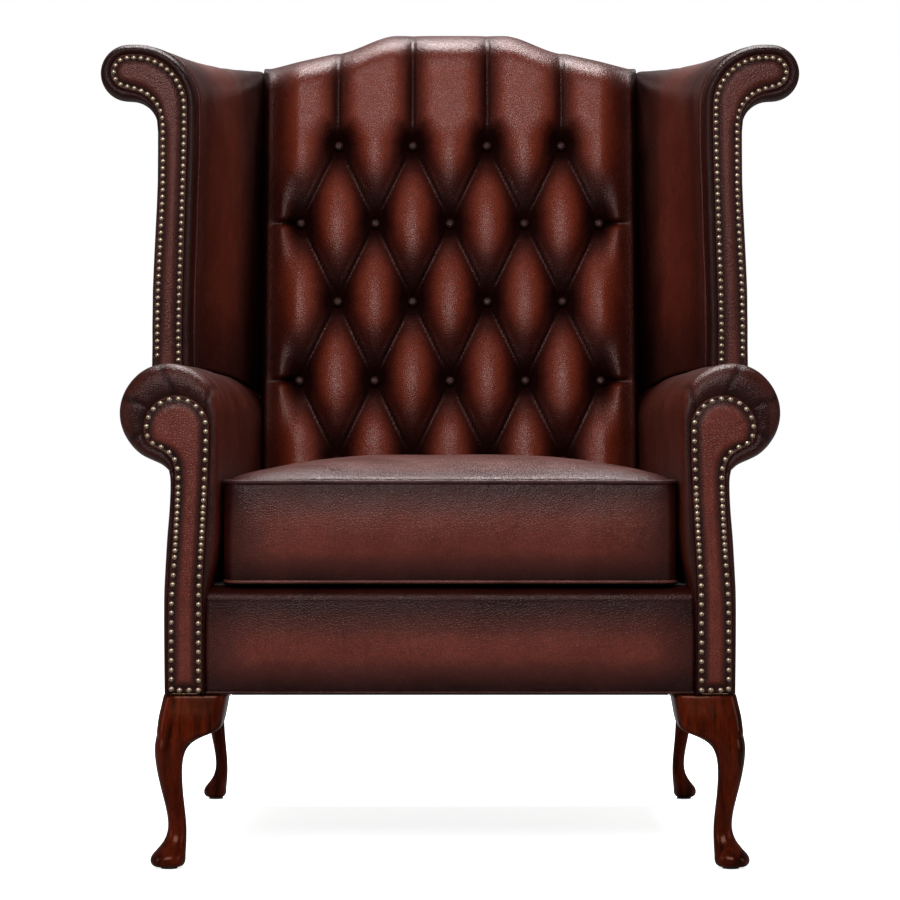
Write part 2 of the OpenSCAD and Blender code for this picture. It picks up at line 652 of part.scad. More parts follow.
crest_roll_r = 40;
// Depth of the stuffing at a point: highest between the buttons and low on the pleats
function wave(u) = pow(abs(sin(180 * u)), 0.75);
function puff(x, z) = let(k = (z - deck_z - button_z) / (2 * button_dz), u = x / button_dx + 0.5,
    above = ease((z - deck_z - button_z - 4 * button_dz) / button_dz * 2))
    z < deck_z + button_z ? 0.9 : lerp(wave(u + k) * wave(u - k), wave(u) * 0.7 + 0.2, above);
function edge_fall(x) = ease((back_half_w - abs(x)) / (back_half_w - 2 * button_dx));
function edge_full(z) = 0.55 + 0.1 * sin(180 * (z - deck_z) / (crest_z - deck_z));
function pad_front(x, z) = button_y(max(z, deck_z + button_z)) - puff_h * lerp(edge_full(z),
    puff(x, z), edge_fall(x));
low_tuck = 8;
pad_xs = concat([for (i = [0:edge_cols - 1]) lerp(-back_half_w, -2 * button_dx, i / edge_cols)],
    [for (i = [0:col_count]) lerp(-2 * button_dx, 2 * button_dx, i / col_count)],
    [for (i = [1:edge_cols]) lerp(2 * button_dx, back_half_w, i / edge_cols)]);
roll_rows = 4;
row_low = 3;
top_row_z = deck_z + button_z + 4 * button_dz;
function pad_point(x, i) = i < row_low ? let(z = lerp(deck_z + gap, deck_z + button_z, i / row_low))
    [x, pad_front(x, z) + low_tuck * pow(1 - i / row_low, 2), z]
    : i <= row_low + 4 * rows_per_button ? let(z = deck_z + button_z + (i - row_low) * button_dz
        / rows_per_button) [x, pad_front(x, z), z]
    : let(k = i - row_low - 4 * rows_per_button, turn = crest_line(x) - crest_roll_r,
        a = 90 * max(0, k - 4) / roll_rows, z = k <= 4 ? lerp(top_row_z, turn, k / 4)
            : turn + crest_roll_r * sin(a))
        [x, k <= 4 ? pad_front(x, z) : lerp(pad_front(x, turn), outer_y(z) - panel_t - 2 * gap,
            1 - cos(a)), z];
row_count = row_low + 4 * rows_per_button + 4 + roll_rows;
// Height of the hessian's top edge, above which the stuffing reaches back to the crest rail
hessian_top = post_top + 2 * gap;
module inside_back() {
    function rear_y(z) = web_y(z) - strap_t - cloth_t - 3 * gap;
    function skin_y(z) = outer_y(z) - panel_t - 2 * gap;
    function rail_front(z) = skin_y(z) - board_t * lean_scale - gap;
    function ring(x) = let(rail = crest_line(x) - crest_drop + 4 * gap) concat(
        [for (i = [0:row_count]) pad_point(x, i)],
        [[x, skin_y(rail), rail], [x, rail_front(rail), rail + board_t * sin(outer_lean)],
            [x, rail_front(hessian_top), hessian_top],
            [x, rear_y(hessian_top), hessian_top], [x, rear_y(deck_z), deck_z + gap]]);
    color([0.42, 0.14, 0.1]) loft([for (x = backwards(pad_xs)) ring(x)]);
}
button_stem = 12;
button_head_t = 7;
module back_buttons() {
    color([0.2, 0.06, 0.05]) for (row = [0:4], i = [-2:2])
        let(odd = row % 2 == 0, x = (i + (odd ? 0.5 : 0)) * button_dx, z = deck_z + button_z
            + row * button_dz)
            if (!(odd && i == 2)) translate([x, button_y(z), z]) rotate([90 - back_lean, 0, 0]) {
                rotate_extrude() polygon([[0, -button_stem], [button_r / 4, -button_stem],
                    [button_r / 4, 0], [button_r, 0], [button_r, button_head_t / 3],
                    [button_r * 0.7, button_head_t * 0.85], [0, button_head_t]]);
            }
}
outside_low_x = arm_x - (post_back_y(leg_h) - front_y) * sin(toe_in) + body_out - gap;
outside_top_x = post_x + post_w;
module outside_back() {
    color([0.3, 0.1, 0.08]) lean_board(panel_t - gap, 0) polygon(concat(
        [[-outside_low_x, (leg_h + gap) * lean_scale], [outside_low_x, (leg_h + gap) * lean_scale],
            [outside_low_x, arm_top * lean_scale], [outside_top_x, (wing_top) * lean_scale]],
        [for (p = crest_points(back_half_w, crest_roll_r / 4)) p],
        [[-outside_top_x, (wing_top) * lean_scale], [-outside_low_x, arm_top * lean_scale]]));
}

// Cushion: a crowned box that narrows to the back, with drawn-in sides
cushion_front = front_y + toe_proud;
cushion_half = arm_x - arm_r - welt_r - cut;
cushion_d = pad_low_y - cushion_slack - cushion_front;
cushion_taper = cushion_d * tan(toe_in) * 1.2;
cushion_round = 24;
draw_in = 5;
corner_steps = 5;
function cushion_plan(inset) = let(w = cushion_half - inset, b = cushion_half - cushion_taper - inset,
    f = cushion_front + inset, r = cushion_front + cushion_d - inset, c = cushion_round - inset)
    concat(arc(w - c, f + c, c, -90, 0, corner_steps), [[lerp(w, b, 0.33), lerp(f, r, 0.33)]],
        [[lerp(w, b, 0.66), lerp(f, r, 0.66)]], arc(b - c, r - c, c, 0, 90, corner_steps),
        [for (k = [0.5, 0, -0.5]) [k * b, r]], arc(-b + c, r - c, c, 90, 180, corner_steps),
        [[-lerp(w, b, 0.66), lerp(f, r, 0.66)]], [[-lerp(w, b, 0.33), lerp(f, r, 0.33)]],
        arc(-w + c, f + c, c, 180, 270, corner_steps), [for (k = [-0.6, -0.2, 0.2, 0.6]) [k * w, f]]);
cushion_mid_y = cushion_front + cushion_d / 2;
crown_rings_shares = [[1, 0], [0.93, 0.32], [0.8, 0.62], [0.6, 0.83], [0.35, 0.96], [0.12, 1]];
function cushion_ring(inset, s, z) = [for (p = cushion_plan(inset))
    [p[0] * s, cushion_mid_y + (p[1] - cushion_mid_y) * s, z]];
module cushion_form(inset) {
    low = deck_z + inset;
    high = deck_z + cushion_h - inset;
    loft(fan = true, rings = concat([cushion_ring(inset + draw_in / 2, 1, low),
        cushion_ring(inset, 1, low + draw_in), cushion_ring(inset + draw_in, 1, lerp(low, high, 0.3)),
        cushion_ring(inset + draw_in, 1, lerp(low, high, 0.7))],
        [for (s = crown_rings_shares) cushion_ring(inset, s[0], high + crown_h * s[1])]));
}
zip_z = deck_z + cushion_h / 2;
zip_half = cushion_half - cushion_taper - 2 * cushion_round;
zip_h = 6;
cushion_back = cushion_front + cushion_d;
module seat_cushion() {
    color([0.4, 0.13, 0.1]) difference() {
        cushion_form(0);
        cushion_form(cover_t);
        translate([-zip_half, cushion_back - 2 * draw_in, zip_z - zip_h / 2])
            cube([2 * zip_half, 4 * draw_in, zip_h]);
    }
}
module cushion_core() { color([0.95, 0.93, 0.85]) cushion_form(cover_t + gap); }
module welt(z) {
    ring = cushion_plan(welt_r / 3);
    n = len(ring);
    points = [for (i = [0:n - 1]) let(p = ring[i], d = ring[(i + 1) % n] - ring[(i + n - 1) % n],
        u = d / norm(d)) for (j = [0:welt_sides - 1]) let(a = 360 * j / welt_sides)
        [p[0] + u[1] * welt_r * cos(a), p[1] - u[0] * welt_r * cos(a), z + welt_r * sin(a)]];
    polyhedron(points, [for (i = [0:n - 1], j = [0:welt_sides - 1], k = [0, 1])
        let(a = i * welt_sides + j, b = i * welt_sides + (j + 1) % welt_sides,
            c = ((i + 1) % n) * welt_sides + j, e = ((i + 1) % n) * welt_sides + (j + 1) % welt_sides)
        k == 0 ? [a, b, e] : [a, e, c]], convexity = 6);
}
module cushion_piping() {
    color([0.3, 0.09, 0.07]) {
        welt(deck_z + welt_r + gap);
        welt(deck_z + cushion_h);
    }
}
module zip_tape() {
    color([0.1, 0.05, 0.05]) translate([-zip_half + gap, cushion_back - draw_in - cover_t, zip_z
        - zip_h / 2 + gap]) cube([2 * zip_half - 2 * gap, cover_t, zip_h - 2 * gap]);
}
slider_l = 12;
slider_t = 2.5;
module zip_slider() {
    color([0.6, 0.5, 0.3]) translate([-zip_half + slider_l, cushion_back - draw_in + gap, zip_z
        - zip_h / 3]) cube([slider_l, slider_t, zip_h * 2 / 3]);
}

front_leg_left();
front_leg_right();
rear_leg_left();
rear_leg_right();
leg_bolts();
foot_glides();
front_rail();
rear_rail();
side_rail_left();
side_rail_right();
corner_blocks();
frame_screws();
arm_post_left();
arm_post_right();
arm_board_left();
arm_board_right();
wing_post_left();
wing_post_right();
wing_rail_left();
wing_rail_right();
back_post_left();
back_post_right();
crest_rail();
lower_back_rail();
seat_springs();
spring_clips();
seat_platform();
back_webbing();
back_hessian();
inside_back();
back_buttons();
outside_back();
wing_pad_left();
wing_pad_right();
wing_panel_left();
wing_panel_right();
back_corner_pad_left();
back_corner_pad_right();
wing_facing_left();
wing_facing_right();
wing_nails_left();
wing_nails_right();
arm_pad_left();
arm_pad_right();
arm_panel_left();
arm_panel_right();
arm_facing_left();
arm_facing_right();
arm_nails_left();
arm_nails_right();
front_border();
dust_cover();
seat_cushion();
cushion_core();
cushion_piping();
zip_tape();
zip_slider();
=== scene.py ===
# %% [markdown]
# # A tufted wing armchair, dressed over its own frame
# The chair's construction is already modelled in CAD: legs, rails, boards, springs, pads. Here each soft
# pad is made again with the pleats, seams and sag that real upholstery has, and every surface gets its
# finish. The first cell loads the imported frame. Everything is in metres, with the floor at height 0.

# %% Load the frame
import bpy
import bmesh
import math
import random
from mathutils import Matrix, Vector, noise


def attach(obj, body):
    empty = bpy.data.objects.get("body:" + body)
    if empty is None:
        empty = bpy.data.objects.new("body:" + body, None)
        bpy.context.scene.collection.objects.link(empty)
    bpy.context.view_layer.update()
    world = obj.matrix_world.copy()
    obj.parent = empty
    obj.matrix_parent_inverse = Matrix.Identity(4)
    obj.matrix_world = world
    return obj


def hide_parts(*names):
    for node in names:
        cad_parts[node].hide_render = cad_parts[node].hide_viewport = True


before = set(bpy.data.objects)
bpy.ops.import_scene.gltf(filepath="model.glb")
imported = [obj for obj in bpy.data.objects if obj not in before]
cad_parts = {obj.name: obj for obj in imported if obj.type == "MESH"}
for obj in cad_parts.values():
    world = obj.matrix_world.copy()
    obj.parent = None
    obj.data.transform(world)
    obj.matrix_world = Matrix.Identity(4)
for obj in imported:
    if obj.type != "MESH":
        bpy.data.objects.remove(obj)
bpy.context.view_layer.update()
random.seed(7)

# %% [markdown]
# ## Camera
# The chair is seen straight from the front, from about four metres away and at the height of the seat.
# A long lens at that distance gives the small perspective that the picture shows in the rear legs.

# %% Camera
scene = bpy.context.scene
CAMERA_DISTANCE, CAMERA_HEIGHT, LENS = 3.978, 0.498, 120.6
camera_data = bpy.data.cameras.new("front_camera")
camera_data.lens = LENS
camera_data.sensor_width = 36
camera_data.clip_end = 60
camera = bpy.data.objects.new("front_camera", camera_data)
camera.location = (0, -CAMERA_DISTANCE, CAMERA_HEIGHT)
camera.rotation_euler = (math.pi / 2, 0, 0)
scene.collection.objects.link(camera)
scene.camera = camera
scene.view_settings.view_transform = "Standard"
print("camera", camera.location, "lens", LENS)

# %% [markdown]
# ## Small tools for node materials
# A procedural finish is a small network of nodes. Writing it by hand for each finish would be long, so
# small helpers add a node with its settings, a colour ramp, a mix and a bump. All patterns read the Object
# coordinates, which stay fixed to the piece when it moves.

# %% Material helpers
def new_material(name):
    material = bpy.data.materials.new(name)
    material.use_nodes = True
    tree = material.node_tree
    return material, tree, tree.nodes["Principled BSDF"]


def add(tree, kind, links=(), **values):
    node = tree.nodes.new("ShaderNode" + kind)
    for key, value in values.items():
        if hasattr(node, key):
            setattr(node, key, value)
        else:
            node.inputs[key.replace("_", " ")].default_value = value
    for socket, source in dict(links).items():
        tree.links.new(source, node.inputs[socket])
    return node


def ramp(tree, source, stops):
    node = add(tree, "ValToRGB", {"Fac": source})
    elements = node.color_ramp.elements
    while len(elements) < len(stops):
        elements.new(0.5)
    for element, (place, colour) in zip(elements, stops):
        element.position = place
        element.color = (*colour, 1)
    return node.outputs["Color"]


def grey(level):
    return (level, level, level)


def rgba_mix(tree, factor, first, second, blend="MIX"):
    node = tree.nodes.new("ShaderNodeMix")
    node.data_type = "RGBA"
    node.blend_type = blend
    factor_in, a_in, b_in = node.inputs[0], node.inputs[6], node.inputs[7]
    for socket, value in ((factor_in, factor), (a_in, first), (b_in, second)):
        if hasattr(value, "is_output"):
            tree.links.new(value, socket)
        else:
            socket.default_value = (*value, 1) if isinstance(value, tuple) else value
    return node.outputs[2]


def scaled(tree, source, factor, shift=0.0):
    """A value times a factor plus a shift."""
    node = add(tree, "Math", {0: source}, operation="MULTIPLY_ADD")
    node.inputs[1].default_value = factor
    node.inputs[2].default_value = shift
    return node.outputs[0]


def bump(tree, height, strength, distance, under=None):
    node = add(tree, "Bump", {"Height": height})
    node.inputs["Strength"].default_value = strength
    node.inputs["Distance"].default_value = distance
    if under is not None:
        tree.links.new(under, node.inputs["Normal"])
    return node.outputs["Normal"]

# %% [markdown]
# ## Antique leather
# The hide is dyed oxblood and then wiped with a nearly black antiquing dye. The wipe takes the dark dye
# off whatever stands proud and leaves it in every fold, so the colour follows the shape. Each piece
# therefore carries a vertex value: 0 deep in a fold, 1 on the crown of a pad. The same value also carries
# painted light: it is lowered as painted shade in corners, under the cushion and where arms and wings meet
# the back, and raised as painted highlight on the upper slopes of puffs and the middles of bulges. A noise
# breaks its edge up, as a hand with a cloth does, and two sizes of pebble grain go into the bump. The
# specular level follows the same value, so a crown shines a little more than a fold.

# %% Leather
def leather(name, deep, middle, raised, gloss=0.37):
    mottle = 0.34
    material, tree, shader = new_material(name)
    place = add(tree, "TexCoord").outputs["Object"]
    # The vertex value read here is antique dye tone and painted light together: painted shade where shade falls and
    # painted highlight where light falls; the colour ramp turns both into colour.
    rubbed_and_shaded = add(tree, "Attribute", attribute_name="rubbed_and_shaded").outputs["Fac"]
    cloudy = add(tree, "TexNoise", {"Vector": place}, Scale=17.0, Detail=6.0, Roughness=0.62).outputs["Fac"]
    fleck = add(tree, "TexNoise", {"Vector": place}, Scale=150.0, Detail=4.0, Roughness=0.7).outputs["Fac"]
    shifted = scaled(tree, cloudy, mottle, -mottle / 2)
    flecked = add(tree, "Math", {0: fleck, 2: shifted}, operation="MULTIPLY_ADD")
    flecked.inputs[1].default_value = mottle * 0.7
    total = add(tree, "Math", {0: rubbed_and_shaded, 1: flecked.outputs[0]}, operation="ADD").outputs[0]
    lowered = add(tree, "Math", {0: total}, operation="SUBTRACT")
    lowered.inputs[1].default_value = mottle * 0.35
    colour = ramp(tree, lowered.outputs[0], [(0.02, deep), (0.48, middle), (0.98, raised)])
    pebble = add(tree, "TexVoronoi", {"Vector": place}, feature="DISTANCE_TO_EDGE", Scale=330.0)
    fine = add(tree, "TexVoronoi", {"Vector": place}, feature="F1", Scale=760.0)
    creases = ramp(tree, pebble.outputs["Distance"], [(0.0, grey(0.0)), (0.34, grey(1.0))])
    supple = add(tree, "TexNoise", {"Vector": place}, Scale=95.0, Detail=3.0).outputs["Fac"]
    soft = bump(tree, creases, 0.30, 0.0009, bump(tree, supple, 0.22, 0.0018))
    normal = bump(tree, fine.outputs["Distance"], 0.14, 0.0005, soft)
    stained = rgba_mix(tree, scaled(tree, creases, 0.45, 0.55), deep, colour)
    tree.links.new(stained, shader.inputs["Base Color"])
    tree.links.new(normal, shader.inputs["Normal"])
    rough = ramp(tree, cloudy, [(0.3, grey(gloss - 0.05)), (0.7, grey(gloss + 0.09))])
    tree.links.new(rough, shader.inputs["Roughness"])
    tree.links.new(scaled(tree, rubbed_and_shaded, 0.22, 0.16), shader.inputs["Specular IOR Level"])
    shader.inputs["Specular Tint"].default_value = (1.0, 0.76, 0.73, 1)
    return material


DEEP = (0.0080, 0.0012, 0.0008)
hide = leather("antique_oxblood_leather", DEEP, (0.052, 0.0066, 0.0032), (0.175, 0.024, 0.0095))
cord_hide = leather("welt_leather", DEEP, (0.030, 0.0065, 0.005), (0.115, 0.032, 0.023), gloss=0.38)
# A much darker copy of the hide for the buttons: painted shade of the deep dimples they sit in.
shaded_button_hide = leather("button_leather", DEEP, (0.014, 0.0030, 0.0022), (0.040, 0.009, 0.006), gloss=0.42)
print("leathers:", hide.name, cord_hide.name, shaded_button_hide.name)

# %% [markdown]
# ## Wood, metal and cloth
# The legs are polished mahogany under a clear lacquer: a stretched noise makes the grain, and a coat layer
# makes the second, sharper reflection. The hidden frame is plain beech. Brass nails are old, so a noise
# darkens them unevenly. Webbing and hessian get their weave from two crossed waves.

# %% Wood
def wood(name, dark, light, rings, gloss, coat):
    material, tree, shader = new_material(name)
    place = add(tree, "TexCoord").outputs["Object"]
    long_way = add(tree, "Mapping", {"Vector": place})
    long_way.inputs["Scale"].default_value = (1, 1, 0.06)
    figure = add(tree, "TexNoise", {"Vector": long_way.outputs[0]}, Scale=rings, Detail=7.0, Distortion=1.2)
    pores = add(tree, "TexNoise", {"Vector": long_way.outputs[0]}, Scale=rings * 14, Detail=2.0)
    colour = ramp(tree, figure.outputs["Fac"], [(0.34, dark), (0.66, light)])
    pitted = ramp(tree, pores.outputs["Fac"], [(0.36, grey(0.45)), (0.5, grey(1.0))])
    tree.links.new(rgba_mix(tree, 0.75, colour, pitted, "MULTIPLY"), shader.inputs["Base Color"])
    tree.links.new(bump(tree, pores.outputs["Fac"], 0.05, 0.0005), shader.inputs["Normal"])
    tree.links.new(ramp(tree, figure.outputs["Fac"], [(0.3, grey(gloss)), (0.7, grey(gloss + 0.08))]),
        shader.inputs["Roughness"])
    shader.inputs["Specular IOR Level"].default_value = 0.17
    shader.inputs["Specular Tint"].default_value = (1.0, 0.36, 0.2, 1)
    shader.inputs["Coat Weight"].default_value = coat
    shader.inputs["Coat Roughness"].default_value = 0.09
    return material


mahogany = wood("polished_mahogany", (0.008, 0.0008, 0.0002), (0.056, 0.0048, 0.0007), 60.0, 0.22, 0.06)
beech = wood("plain_beech", (0.42, 0.27, 0.14), (0.62, 0.43, 0.25), 38.0, 0.5, 0.0)


# %% Metal, plastic and cloth
def metal(name, bright, middle_tone, gloss, scale):
    material, tree, shader = new_material(name)
    place = add(tree, "TexCoord").outputs["Object"]
    patches = add(tree, "TexNoise", {"Vector": place}, Scale=scale, Detail=5.0, Roughness=0.7).outputs["Fac"]
    tree.links.new(ramp(tree, patches, [(0.32, middle_tone), (0.62, bright)]), shader.inputs["Base Color"])
    tree.links.new(ramp(tree, patches, [(0.3, grey(gloss + 0.22)), (0.7, grey(gloss))]), shader.inputs["Roughness"])
    tree.links.new(bump(tree, patches, 0.12, 0.0003), shader.inputs["Normal"])
    shader.inputs["Metallic"].default_value = 1.0
    return material


def woven(name, dark, light, pitch):
    material, tree, shader = new_material(name)
    place = add(tree, "TexCoord").outputs["Object"]
    across = add(tree, "TexWave", {"Vector": place}, wave_type="BANDS", bands_direction="X", Scale=pitch,
        Distortion=0.4, Detail=1.0)
    along = add(tree, "TexWave", {"Vector": place}, wave_type="BANDS", bands_direction="Z", Scale=pitch,
        Distortion=0.4, Detail=1.0)
    crossed = add(tree, "Math", {0: across.outputs["Fac"], 1: along.outputs["Fac"]}, operation="MULTIPLY").outputs[0]
    tree.links.new(ramp(tree, crossed, [(0.0, dark), (0.7, light)]), shader.inputs["Base Color"])
    tree.links.new(bump(tree, crossed, 0.5, 0.0006), shader.inputs["Normal"])
    shader.inputs["Roughness"].default_value = 0.85
    return material


def matt(name, dark, light, scale, rough):
    material, tree, shader = new_material(name)
    place = add(tree, "TexCoord").outputs["Object"]
    speckle = add(tree, "TexNoise", {"Vector": place}, Scale=scale, Detail=5.0).outputs["Fac"]
    tree.links.new(ramp(tree, speckle, [(0.35, dark), (0.65, light)]), shader.inputs["Base Color"])
    tree.links.new(bump(tree, speckle, 0.3, 0.0006), shader.inputs["Normal"])
    shader.inputs["Roughness"].default_value = rough
    return material


brass = metal("antique_brass", (0.52, 0.42, 0.31), (0.16, 0.105, 0.06), 0.30, 900.0)
steel = metal("bright_steel", (0.62, 0.62, 0.64), (0.34, 0.34, 0.35), 0.28, 260.0)
jute = woven("jute_webbing", (0.20, 0.13, 0.06), (0.55, 0.41, 0.23), 160.0)
hessian = woven("hessian_cloth", (0.24, 0.17, 0.09), (0.62, 0.50, 0.31), 220.0)
black_cloth = woven("black_lining", (0.004, 0.004, 0.004), (0.022, 0.022, 0.023), 320.0)
foam = matt("cushion_foam", (0.66, 0.60, 0.44), (0.86, 0.81, 0.66), 420.0, 0.9)
felt = matt("platform_felt", (0.02, 0.017, 0.014), (0.06, 0.05, 0.042), 300.0, 0.95)
glide_plastic = matt("glide_nylon", (0.010, 0.010, 0.010), (0.03, 0.03, 0.03), 500.0, 0.45)
print("finishes:", len(bpy.data.materials))

# %% [markdown]
# ## One way to make a cover
# Most covers here are a sheet of leather drawn over a form. Each starts as a flat grid, and every point of
# the grid is then carried to its place on the form by that piece's own rule, which also says how much of
# the antiquing dye was rubbed off there and how much painted shade or painted highlight it gets. A Solidify
# modifier then gives the leather its thickness inwards, so that every cover is a closed shell.

# %% Cover helpers
def keep(bm, name, material, body="chair"):
    mesh = bpy.data.meshes.new(name)
    bm.to_mesh(mesh)
    bm.free()
    piece = bpy.data.objects.new(name, mesh)
    scene.collection.objects.link(piece)
    mesh.materials.append(material)
    mesh.shade_smooth()
    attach(piece, body)
    return piece


def rub_and_shade_layer(bm):
    return bm.verts.layers.float.get("rubbed_and_shaded") or bm.verts.layers.float.new("rubbed_and_shaded")


def cover_mesh(across, along, rule, inside_out=False, close=False):
    bm = bmesh.new()
    bmesh.ops.create_grid(bm, x_segments=across, y_segments=along, size=0.5)
    layer = rub_and_shade_layer(bm)
    for vert in bm.verts:
        place, rub_and_shade = rule(vert.co.x + 0.5, vert.co.y + 0.5)
        vert.co = place
        vert[layer] = rub_and_shade
    if close:
        bmesh.ops.remove_doubles(bm, verts=bm.verts, dist=0.00002)
    if inside_out:
        bmesh.ops.reverse_faces(bm, faces=bm.faces)
    return bm


def give_thickness(piece, thickness):
    wall = piece.modifiers.new("leather_thickness", "SOLIDIFY")
    wall.thickness = thickness
    wall.offset = -1.0
    wall.use_rim = True


def dressed(node):
    """Hides the CAD node that a padded piece stands for."""
    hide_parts(node)


def ease(t):
    t = min(1.0, max(0.0, t))
    return t * t * (3 - 2 * t)


def lerp(a, b, t):
    return a + (b - a) * t


def arc(x, z, radius, start, end, steps):
    return [Vector((x + radius * math.cos(math.radians(lerp(start, end, i / steps))),
        z + radius * math.sin(math.radians(lerp(start, end, i / steps))))) for i in range(steps + 1)]


def wander(place, size, seed=0.0):
    return noise.noise(Vector(place) / size + Vector((seed, 3.7 * seed, 1.3)))


# %% [markdown]
# ## Paths that covers follow
# The front of an arm or a wing is an outline drawn with straight runs and arcs. A small class walks along
# such an outline at an even pace and also gives the direction that points out of the pad, so a cover can
# be drawn in or pushed out from it, and nails can be spaced along it.

# %% Path helper
class Path:
    def __init__(self, points, round_off=0):
        self.points = [Vector(p) for p in points]
        for _ in range(round_off):
            cut = [self.points[0]]
            for a, b in zip(self.points, self.points[1:]):
                cut += [a.lerp(b, 0.25), a.lerp(b, 0.75)]
            self.points = cut + [self.points[-1]]
        self.marks = [0.0]
        for a, b in zip(self.points, self.points[1:]):
            self.marks.append(self.marks[-1] + (b - a).length)
        self.length = self.marks[-1]

    def locate(self, share):
        distance = min(max(share, 0.0), 1.0) * self.length
        low, high = 0, len(self.marks) - 1
        while high - low > 1:
            middle = (low + high) // 2
            if self.marks[middle] <= distance:
                low = middle
            else:
                high = middle
        step = self.marks[low + 1] - self.marks[low]
        return low, (distance - self.marks[low]) / max(step, 1e-9)

    def at(self, share):
        low, part = self.locate(share)
        return self.points[low].lerp(self.points[low + 1], part)

    def partner(self, other, share):
        """The point on another path with as many points that goes with this path's point."""
        low, part = self.locate(share)
        return other.points[low].lerp(other.points[low + 1], part)

    def out(self, share, reach=0.012):
        a, b = self.at(share - reach), self.at(share + reach)
        run = (b - a).normalized()
        return Vector((-run.y, run.x))


print("cover and path helpers ready")

# %% [markdown]
# ## The chair's own measures
# These repeat the driving sizes of the CAD model in metres, because a cover has to lie on the same forms.

# %% Measures
FRONT_Y, BACK_Y = -0.400, 0.406
LEG_H, RAIL_TOP, DECK_Z = 0.208, 0.322, 0.3376
ARM_TOP, ARM_R, ARM_X = 0.6016, 0.060, 0.334
ROLL_Z = ARM_TOP - ARM_R
TOE_IN = math.radians(1.3)
WING_Y, WING_TOP, CREST_Z = -0.130, 1.0166, 1.0956
BACK_HALF, BUTTON_DX, BUTTON_DZ, BUTTON_Z = 0.257, 0.1045, 0.111, 0.145
PUFF, PANEL = 0.030, 0.004
OUTER_LEAN, INNER_LEAN = math.radians(4.5), math.radians(12)
POST_X = 0.262
HUMP_X, HUMP_END, HUMP_DROP, SHOULDER_DROP = 0.075, 0.165, 0.026, 0.021


def outer_y(z):
    return BACK_Y - (CREST_Z - z) * math.tan(OUTER_LEAN)


def web_y(z):
    return outer_y(z) - PANEL - 0.056 - (CREST_Z - z) * math.tan(OUTER_LEAN) / 3


def button_y(z):
    return web_y(CREST_Z) - 0.030 - (CREST_Z - z) * math.tan(INNER_LEAN)


def crest_line(x):
    x = abs(x)
    shoulder = max(0.0, (x - HUMP_END) / (BACK_HALF - HUMP_END))
    return CREST_Z - HUMP_DROP * ease((x - HUMP_X) / (HUMP_END - HUMP_X)) - SHOULDER_DROP * shoulder


print("button plane leans from y", round(button_y(DECK_Z), 3), "to", round(button_y(CREST_Z), 3))

# %% [markdown]
# ## Deep-buttoned inside back
# A buttoned back is one hide pulled through the stuffing at each button. The spare leather is folded into
# straight pleats from button to button, so the hide shows diamonds, each a plump hill between four deep
# points. It could be simulated as cloth with pinned points, but real pleats are laid by hand along exact
# lines. So the hill is written as a rule: high between the pleat lines, lower on them, lowest at a button,
# with one lip of each pleat lying over the other. Above the top row the pleats run straight up and over
# the crest, and beside the outer buttons one short pleat runs out to the wing.

# %% Inside back
ROLL_R, SIDE_FULL, EXTRA_PUFF = 0.060, 0.86, 0.010
FLANGE, CLIMB = 0.018, 0.87
ROW_0 = DECK_Z + BUTTON_Z
TOP_ROW = ROW_0 + 4 * BUTTON_DZ


def fold(steps):
    """Signed share of the way from the nearest pleat line, from -0.5 to 0.5."""
    return steps - round(steps)


def hill(offset):
    return abs(math.sin(math.pi * offset))


def tuft(x, z):
    """Height of the stuffing, 0 at a button and 1 in the middle of a diamond."""
    side = max(0.0, abs(x) - 2 * BUTTON_DX) / (BACK_HALF - 2 * BUTTON_DX)
    u = min(abs(x), 2 * BUTTON_DX) / BUTTON_DX * (1 if x >= 0 else -1) + 0.5
    k = (z - ROW_0) / (2 * BUTTON_DZ)
    fa, fb = fold(u + k), fold(u - k)
    p, q = hill(fa), hill(fb)
    high = 0.34 * (p + q) ** 0.95 + 0.32 * (p * q) ** 0.62
    lip = 0.075 * (math.exp(-((fa - 0.045) / 0.022) ** 2) * q + math.exp(-((fb + 0.045) / 0.022) ** 2) * p)
    straight = hill(fold(u))
    upright = 0.34 + 0.60 * (1 - (1 - straight) ** 2) ** 0.8 + 0.07 * math.exp(-((fold(u) - 0.04) / 0.022) ** 2)
    above = ease((z - TOP_ROW) / (0.42 * BUTTON_DZ))
    under = ease((ROW_0 - z) / (0.5 * BUTTON_DZ))
    height = lerp(high + lip, upright, max(above, under))
    return lerp(height, SIDE_FULL, ease(side * 1.7))


def row_pull(x, z):
    """Extra depth close to a button, and the little gathers that fan out from it."""
    pull = 0.0
    for row in range(5):
        bz = ROW_0 + row * BUTTON_DZ
        if abs(z - bz) > 0.05:
            continue
        first = 0.5 if row % 2 == 0 else 0.0
        bx = (round(x / BUTTON_DX - first) + first) * BUTTON_DX
        if abs(bx) > 2.01 * BUTTON_DX:
            continue
        beyond = (abs(x) - 2 * BUTTON_DX) / (BACK_HALF - 2 * BUTTON_DX)
        if row % 2 and beyond > 0:
            pull += 0.42 * math.exp(-((z - bz) / 0.0035) ** 2) * ease((0.95 - beyond) / 0.6)
        r = math.hypot(x - bx, z - bz)
        turn = math.atan2(z - bz, x - bx)
        pull += 0.24 * math.exp(-(r / 0.014) ** 2)
        pull += 0.012 * math.cos(7 * turn + bx * 40) * math.exp(-((r - 0.021) / 0.011) ** 2)
    return pull


